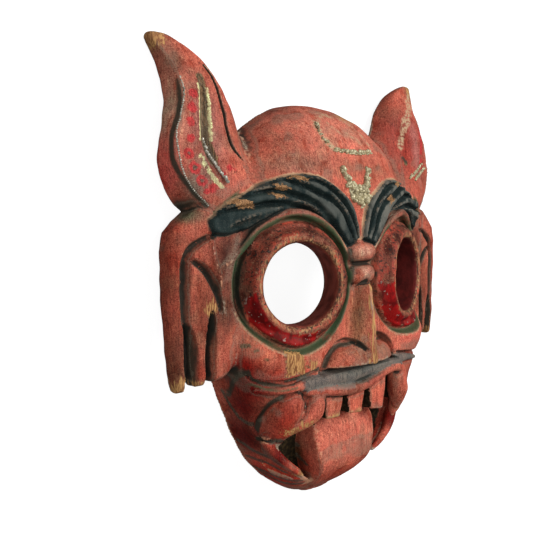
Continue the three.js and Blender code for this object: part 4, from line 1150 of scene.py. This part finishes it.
def paintedWood():
    material = bpy.data.materials.new("paintedWood")
    material.use_nodes = True
    tree = material.node_tree
    shader = tree.nodes["Principled BSDF"]
    node, calc, ramp, mix, noise = toolsFor(tree)
    place = tree.nodes.new("ShaderNodeTexCoord").outputs["Object"]
    noises = {name: noise(place, *row) for name, row in wood["noise"].items()}
    grain, fine, speckle, blotch, patch = list(noises.values())[:5]

    def layer(name, output="Fac"):
        return node("ShaderNodeAttribute", attribute_name=name).outputs[output]

    def swing(source, share):
        return calc("MULTIPLY", calc("SUBTRACT", source, 0.5), share)

    def inside(name):
        soft, ragged, *cutter = wood["edges"][name]
        source = noises[cutter[0]] if cutter else speckle
        return ramp(calc("ADD", layer(name), swing(source, ragged * 2)), -soft, soft)

    def times(*values):
        total = values[0]
        for value in values[1:]:
            total = calc("MULTIPLY", total, value)
        return total

    tones = {}
    for name, (source, low, high, first, second) in wood["tones"].items():
        tones[name] = mix(ramp(noises[source], low, high), first, second)
    cavity, edge, shade = layer("cavity"), layer("edge"), layer("shade")
    ring = ramp(layer("ring"), 0, 1.2)
    bared = inside("bare")

    tint = layer("tint", "Color")
    colour = mix(1.0, tint, ramp(patch, 0.3, 0.7, 0.82, 1.14), "MULTIPLY")
    for source, low, high, most, change in wood["fading"]:
        colour = mix(ramp(noises[source], low, high, 0, most), colour, change, "MULTIPLY")
    colour = mix(times(inside("stripe"), 0.8), colour, wood["stripe"])
    dab = mix(ramp(layer("dots"), 1.7, 2.3), tones["dab"], wood["dabHeart"])
    colour = mix(times(inside("dots"), 0.9), colour, dab)
    colour = mix(inside("umber"), colour, tones["umber"])
    colour = mix(times(inside("lime"), 0.9), colour, wood["lime"])
    for source, low, high, most, change in wood["grit"]:
        colour = mix(ramp(noises[source], low, high, 0, most), colour, change, "MULTIPLY")

    colour = mix(times(inside("dust"), ramp(speckle, 0.4, 0.58, 0.1, 0.85)), colour, wood["dust"])
    for source, low, high, most, change, blend in wood["ringGrit"]:
        colour = mix(times(ring, ramp(noises[source], low, high, 0, most)), colour, change, blend)
    red = mix(ramp(noises["fleck"], 0.64, 0.67, 0, 0.85), tones["red"], wood["redFleck"])
    colour = mix(inside("eyeRed"), colour, red)
    colour = mix(times(inside("rim"), ramp(speckle, 0.4, 0.56, 0.1, 0.85)), colour, tones["rim"])

    # grime and painted shade: the shade layer, broken up by noise, darkens towards a dark olive
    grimeAndShadeLevel = calc("ADD", calc("ADD", shade, swing(blotch, 0.9)), swing(fine, 0.9))
    colour = mix(ramp(grimeAndShadeLevel, 0.08, 0.85, 0, 0.96), colour, wood["grimeAndShade"])
    # dirt in the hollows with painted shade there: near black in every crease and groove
    colour = addDirtAndHollowShade(tree, colour, wood["dirtAndShade"], cavity, 0.94, 240)
    dusted = times(ramp(cavity, 0.01, 0.08), ramp(cavity, 0.3, 0.12), ramp(fine, 0.36, 0.6, 0.1, 0.5))
    colour = mix(times(dusted, calc("SUBTRACT", 1.0, ring)), colour, wood["haze"])
    exposed = times(edge, ramp(shade, 0.45, 0.12), ramp(ring, 0, 1, 1, 0.55))
    worn = calc("ADD", exposed, swing(speckle, 0.9))
    colour = mix(ramp(worn, 0.2, 0.56, 0, 0.8), colour, tones["rubbed"])

    leaf = mix(ramp(layer("green"), 0.2, 1.4), *wood["leaf"])
    shown = ramp(calc("ADD", patch, swing(fine, 0.4)), 0.3, 0.46)
    colour = mix(times(inside("green"), shown, 0.9), colour, leaf)
    # painted highlight: the pale cream line on the eye groove's lower lip
    colour = mix(times(inside("cream"), 0.6), colour, wood["cream"])

    rubbed = times(ramp(edge, 0.2, 0.7, 0, 0.7), ramp(speckle, 0.42, 0.6))
    strand = mix(rubbed, tones["strand"], wood["strandEdge"])
    ridges = ramp(calc("SUBTRACT", blotch, cavity), 0.3, 0.6, 0, 0.75)
    strand = mix(times(layer("browGrey"), ridges), strand, wood["strandGrey"])
    # painted shade: the brow's grooves darkened nearly to black
    strand = mix(ramp(cavity, 0.25, 0.9, 0, 0.95), strand, wood["strandDeep"])
    strand = mix(ramp(fine, 0.56, 0.7, 0, 0.5), strand, wood["strandGrit"])
    strand = mix(inside("browWear"), strand, tones["amber"])
    colour = mix(inside("brow"), colour, strand)
    colour = mix(times(inside("browLine"), ramp(patch, 0.4, 0.56, 0.25, 0.85)), colour, wood["browLine"])

    slate = mix(ramp(fine, 0.45, 0.68, 0, 0.7), tones["slate"], wood["slateGrit"])
    slate = mix(ramp(grain, 0.54, 0.64, 0, 0.7), slate, wood["slateGrain"])
    # painted shade: the moustache darkened in its hollows
    slate = mix(ramp(cavity, 0.3, 1.0, 0, 0.9), slate, wood["slateDeep"])
    colour = mix(times(inside("moustache"), 0.92), colour, slate)
    colour = mix(times(inside("lipGrey"), 0.5), colour, wood["lipGrey"])

    bareWood = mix(ramp(blotch, 0.5, 0.75, 0, 0.6), tones["bareWood"], wood["stain"])
    colour = mix(times(bared, 0.92), colour, bareWood)
    walls = mix(1.0, tint, ramp(blotch, 0.35, 0.65, 0.55, 1.1), "MULTIPLY")
    colour = mix(inside("hole"), colour, walls)
    # near black on the teeth's side walls (painted shadow with dirt), in the horn's crack and in the mouth
    # pocket
    colour = mix(inside("black"), colour, tones["pocket"])
    colour = mix(inside("inside"), colour, tones["back"])
    tree.links.new(colour, shader.inputs["Base Color"])
    shader.inputs["Specular IOR Level"].default_value = wood["specular"]

    gloss = ramp(blotch, 0.35, 0.7, 0.74, 0.52)
    tree.links.new(calc("ADD", gloss, times(cavity, 0.15)), shader.inputs["Roughness"])
    height = calc("ADD", calc("ADD", times(grain, 0.55), times(fine, 0.3)), times(speckle, 0.5))
    height = calc("SUBTRACT", height, times(bared, 0.45))
    relief = node("ShaderNodeBump", {"Height": height, "Strength": wood["relief"],
                                     "Distance": wood["reliefDepth"]})
    tree.links.new(relief.outputs["Normal"], shader.inputs["Normal"])
    return material


thinned.materials.clear()
thinned.materials.append(paintedWood())
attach(mask, "root")
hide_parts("mask")
print("mask painted")


# Beads and paste laid along lines on the surface
def topPoint(x, y):
    heights = np.arange(70, 4, -0.4)
    column = np.column_stack([np.full_like(heights, x), np.full_like(heights, y), heights])
    first = np.argmax(maskField(column) < 0)
    return column[first]


def beadTree():
    tree = bpy.data.node_groups.new("beadString", "GeometryNodeTree")
    for name, kind in (("Geometry", "Geometry"), ("Spacing", "Float"), ("Size", "Float"), ("Uneven", "Float"),
                       ("Scatter", "Float"), ("Seed", "Int"), ("Material", "Material")):
        tree.interface.new_socket(name, in_out="INPUT", socket_type="NodeSocket" + kind)
    tree.interface.new_socket("Geometry", in_out="OUTPUT", socket_type="NodeSocketGeometry")
    taken = tree.nodes.new("NodeGroupInput").outputs
    given = tree.nodes.new("NodeGroupOutput").inputs
    node, calc = toolsFor(tree)[:2]

    def randomVector(low, high):
        chance = node("FunctionNodeRandomValue", {"Seed": taken["Seed"]}, data_type="FLOAT_VECTOR")
        tree.links.new(low, chance.inputs[0])
        tree.links.new(high, chance.inputs[1])
        return chance.outputs[0]

    line = node("GeometryNodeMeshToCurve", {"Mesh": taken["Geometry"]}).outputs["Curve"]
    marks = node("GeometryNodeCurveToPoints", {"Curve": line, "Length": taken["Spacing"]}, mode="LENGTH")
    stray = randomVector(calc("MULTIPLY", taken["Scatter"], -1.0), taken["Scatter"])
    moved = node("GeometryNodeSetPosition", {"Geometry": marks.outputs["Points"], "Offset": stray})
    ball = node("GeometryNodeMeshIcoSphere", {"Radius": taken["Size"], "Subdivisions": 2}).outputs["Mesh"]
    sizes = randomVector(calc("SUBTRACT", 1.0, taken["Uneven"]), calc("ADD", 1.0, taken["Uneven"]))
    beads = node("GeometryNodeInstanceOnPoints",
                 {"Points": moved.outputs["Geometry"], "Instance": ball, "Scale": sizes})
    solid = node("GeometryNodeRealizeInstances", {"Geometry": beads.outputs["Instances"]})
    smooth = node("GeometryNodeSetShadeSmooth", {"Geometry": solid.outputs["Geometry"]})
    dressed = node("GeometryNodeSetMaterial", {"Geometry": smooth.outputs["Geometry"],
                                               "Material": taken["Material"]})
    tree.links.new(dressed.outputs["Geometry"], given["Geometry"])
    return tree


def pasteMaterial(name, dark, pale, dirtAndShade):
    material = bpy.data.materials.new(name)
    material.use_nodes = True
    tree = material.node_tree
    shader = tree.nodes["Principled BSDF"]
    node, _, ramp, mix, noise = toolsFor(tree)
    speckle = noise(tree.nodes.new("ShaderNodeTexCoord").outputs["Object"], 700, 4.0)
    colour = mix(ramp(speckle, 0.38, 0.64), dark, pale)
    colour = addDirtAndHollowShade(tree, colour, (0.045, 0.038, 0.022), 0.42, dirtAndShade, 420)
    relief = node("ShaderNodeBump", {"Height": speckle, "Strength": 0.5, "Distance": 0.0006})
    for key, value in (("Base Color", colour), ("Roughness", ramp(speckle, 0.35, 0.7, 0.62, 0.42)),
                       ("Metallic", ramp(speckle, 0.4, 0.7, 0.0, 0.35)),
                       ("Normal", relief.outputs["Normal"])):
        tree.links.new(value, shader.inputs[key])
    return material


beadString = beadTree()
gilt = pasteMaterial("giltPaste", (0.34, 0.28, 0.14), (0.74, 0.66, 0.42), 0.65)
silver = pasteMaterial("silverBead", (0.24, 0.22, 0.17), (0.66, 0.62, 0.52), 0.7)
hornEdge = [(114.4, 119), (114.4, 112.2), (118.3, 97.8), (121.8, 86.8), (121.8, 78), (120.4, 68.3),
            (115.2, 58.1), (105.4, 47.4)]
gougeBeads = [(104.2, 84.6), (102.8, 77.3), (99.8, 70.7), (96.8, 65.1), (94.8, 60.5)]
almondEdge = [(-19.6, 99.5), (-21.6, 95.4), (-21.3, 88.6), (-15.4, 83.4)]
almondLow = [(-15.4, 82.8), (-5.1, 81.8), (4.9, 81.8), (15.4, 82.5), (24.2, 83.5)]
sprig = [[(-12.5, 70.4), (-9.5, 65.5), (-4.8, 60.5), (-1.5, 54.2), (1.9, 48.4)], [(-7.8, 55.7), (-2.7, 51)],
         [(14.1, 71), (12.1, 65.6), (8.5, 59.6), (5.3, 53), (3.6, 47.4)], [(11, 55.6), (7, 49.6)],
         [(-10, 60.7), (-4.4, 58.4), (2.8, 57.5), (12, 60.4)], [(0.6, 58), (1.6, 52)], [(-6, 62), (-4.6, 55)],
         [(9.6, 62), (9, 54.6)]]
farPaste = [[(87.7, 69.6), (99.2, 74.7), (109.6, 81.5)], [(95, 68.4), (105, 73.6), (115, 78.7)]]
strings = {
    "hornBeads": {"lines": [hornEdge, [(-x, y) for x, y in hornEdge]], "spacing": 1.25, "size": 0.62,
                  "uneven": 0.2, "scatter": 0.12, "sink": 0.1, "seed": 3, "material": silver},
    "gougeBeads": {"lines": [[(-x, y) for x, y in gougeBeads]], "spacing": 1.3, "size": 0.95,
                   "uneven": 0.25, "scatter": 0.3, "sink": -0.2, "seed": 5, "material": silver},
    "almondPaste": {"lines": [almondEdge], "spacing": 0.45, "size": 0.85,
                    "uneven": 0.5, "scatter": 1.2, "sink": 0.3, "seed": 8, "material": gilt},
    "almondFoot": {"lines": [almondLow], "spacing": 0.3, "size": 1.05,
                   "uneven": 0.5, "scatter": 1.0, "sink": 0.5, "seed": 9, "material": gilt},
    "farPaste": {"lines": farPaste, "spacing": 0.5, "size": 1.0,
                 "uneven": 0.45, "scatter": 0.5, "sink": 0.2, "seed": 15, "material": gilt},
    "sprigPaste": {"lines": sprig, "spacing": 0.4, "size": 1.6,
                   "uneven": 0.55, "scatter": 1.5, "sink": 0.4, "seed": 12, "material": gilt},
}
for name, spec in strings.items():
    path, legs = [], []
    for line in spec["lines"]:
        rows = np.array([topPoint(x, y) for x, y in splinePoints(line, 26)])
        legs += [(len(path) + i, len(path) + i + 1) for i in range(len(rows) - 1)]
        path += [tuple(row) for row in toRow(rows - (0, 0, spec["sink"]))]
    guide = bpy.data.meshes.new(name)
    guide.from_pydata(path, legs, [])
    piece = newObject(name, guide)
    growth = piece.modifiers.new("beads", "NODES")
    growth.node_group = beadString
    wanted = {"Spacing": spec["spacing"] / 1000, "Size": spec["size"] / 1000, "Uneven": spec["uneven"],
              "Scatter": spec["scatter"] / 1000, "Seed": spec["seed"], "Material": spec["material"]}
    for socket in beadString.interface.items_tree:
        if socket.in_out == "INPUT" and socket.name in wanted:
            growth[socket.identifier] = wanted[socket.name]
    made = bpy.data.meshes.new_from_object(piece.evaluated_get(bpy.context.evaluated_depsgraph_get()))
    piece.modifiers.clear()
    piece.data = made
    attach(piece, "root")
    print(name, len(made.polygons), "faces")

# Floor, light and camera
ground = {"half": 6, "under": 0.0003, "colour": (0.2, 0.2, 0.2, 1), "roughness": 0.9, "glow": 0.92}
floorMesh = bpy.data.meshes.new("floor")
half = ground["half"]
corners = [(x, y, -ground["under"]) for x, y in ((-half, -half), (half, -half), (half, half), (-half, half))]
floorMesh.from_pydata(corners, [], [(0, 1, 2, 3)])
floor = newObject("floor", floorMesh)
paper = bpy.data.materials.new("paleFloor")
paper.use_nodes = True
shader = paper.node_tree.nodes["Principled BSDF"]
white = (1, 1, 1, 1)
for key, value in (("Base Color", ground["colour"]), ("Roughness", ground["roughness"]),
                   ("Emission Color", white), ("Emission Strength", ground["glow"])):
    shader.inputs[key].default_value = value
floorMesh.materials.append(paper)
floor.visible_diffuse = False
floor.visible_glossy = False

studio = {
    "key": {"at": (0.3, 0.5, 1.1), "size": 0.8, "power": 18.5},
    "fill": {"at": (-0.9, -0.1, 0.9), "size": 1.0, "power": 6.5},
}
lightTarget = Vector((0, 0, 0.02))
for name, lamp in studio.items():
    light = bpy.data.lights.new(name, "AREA")
    light.size = lamp["size"]
    light.energy = lamp["power"]
    holder = bpy.data.objects.new(name, light)
    bpy.context.scene.collection.objects.link(holder)
    holder.location = lamp["at"]
    holder.rotation_euler = (lightTarget - Vector(lamp["at"])).to_track_quat("-Z", "Y").to_euler()
backdropStrength = {"light": 0.15, "seen": 0.92}  # to the camera it is as pale as the floor
world = bpy.data.worlds.new("studio")
bpy.context.scene.world = world
world.use_nodes = True
sky = world.node_tree
lit = sky.nodes["Background"]
lit.inputs["Strength"].default_value = backdropStrength["light"]
seen = addNode(sky, "ShaderNodeBackground", {"Strength": backdropStrength["seen"]})
for backdrop in (lit, seen):
    backdrop.inputs["Color"].default_value = white
blend = addNode(sky, "ShaderNodeMixShader", {0: sky.nodes.new("ShaderNodeLightPath").outputs["Is Camera Ray"],
                                             1: lit.outputs[0], 2: seen.outputs[0]})
sky.links.new(blend.outputs[0], sky.nodes["World Output"].inputs["Surface"])

view = {
    "at": (-357.71, 33.39, 335.99), "right": (0.7034, -0.0201, 0.7105), "up": (0.0657, 0.9972, -0.0369),
    "back": (-0.7077, 0.0727, 0.7028), "lens": 45, "sensor": 36,
}
lens = bpy.data.cameras.new("camera")
lens.lens = view["lens"]
lens.sensor_width = lens.sensor_height = view["sensor"]
camera = bpy.data.objects.new("camera", lens)
bpy.context.scene.collection.objects.link(camera)
turn = Matrix((view["right"], view["up"], view["back"])).transposed()
camera.matrix_world = Matrix.Translation(Vector(toRow(view["at"]))) @ turn.to_4x4()
bpy.context.scene.camera = camera
bpy.context.scene.view_settings.view_transform = "Standard"

print("finished")
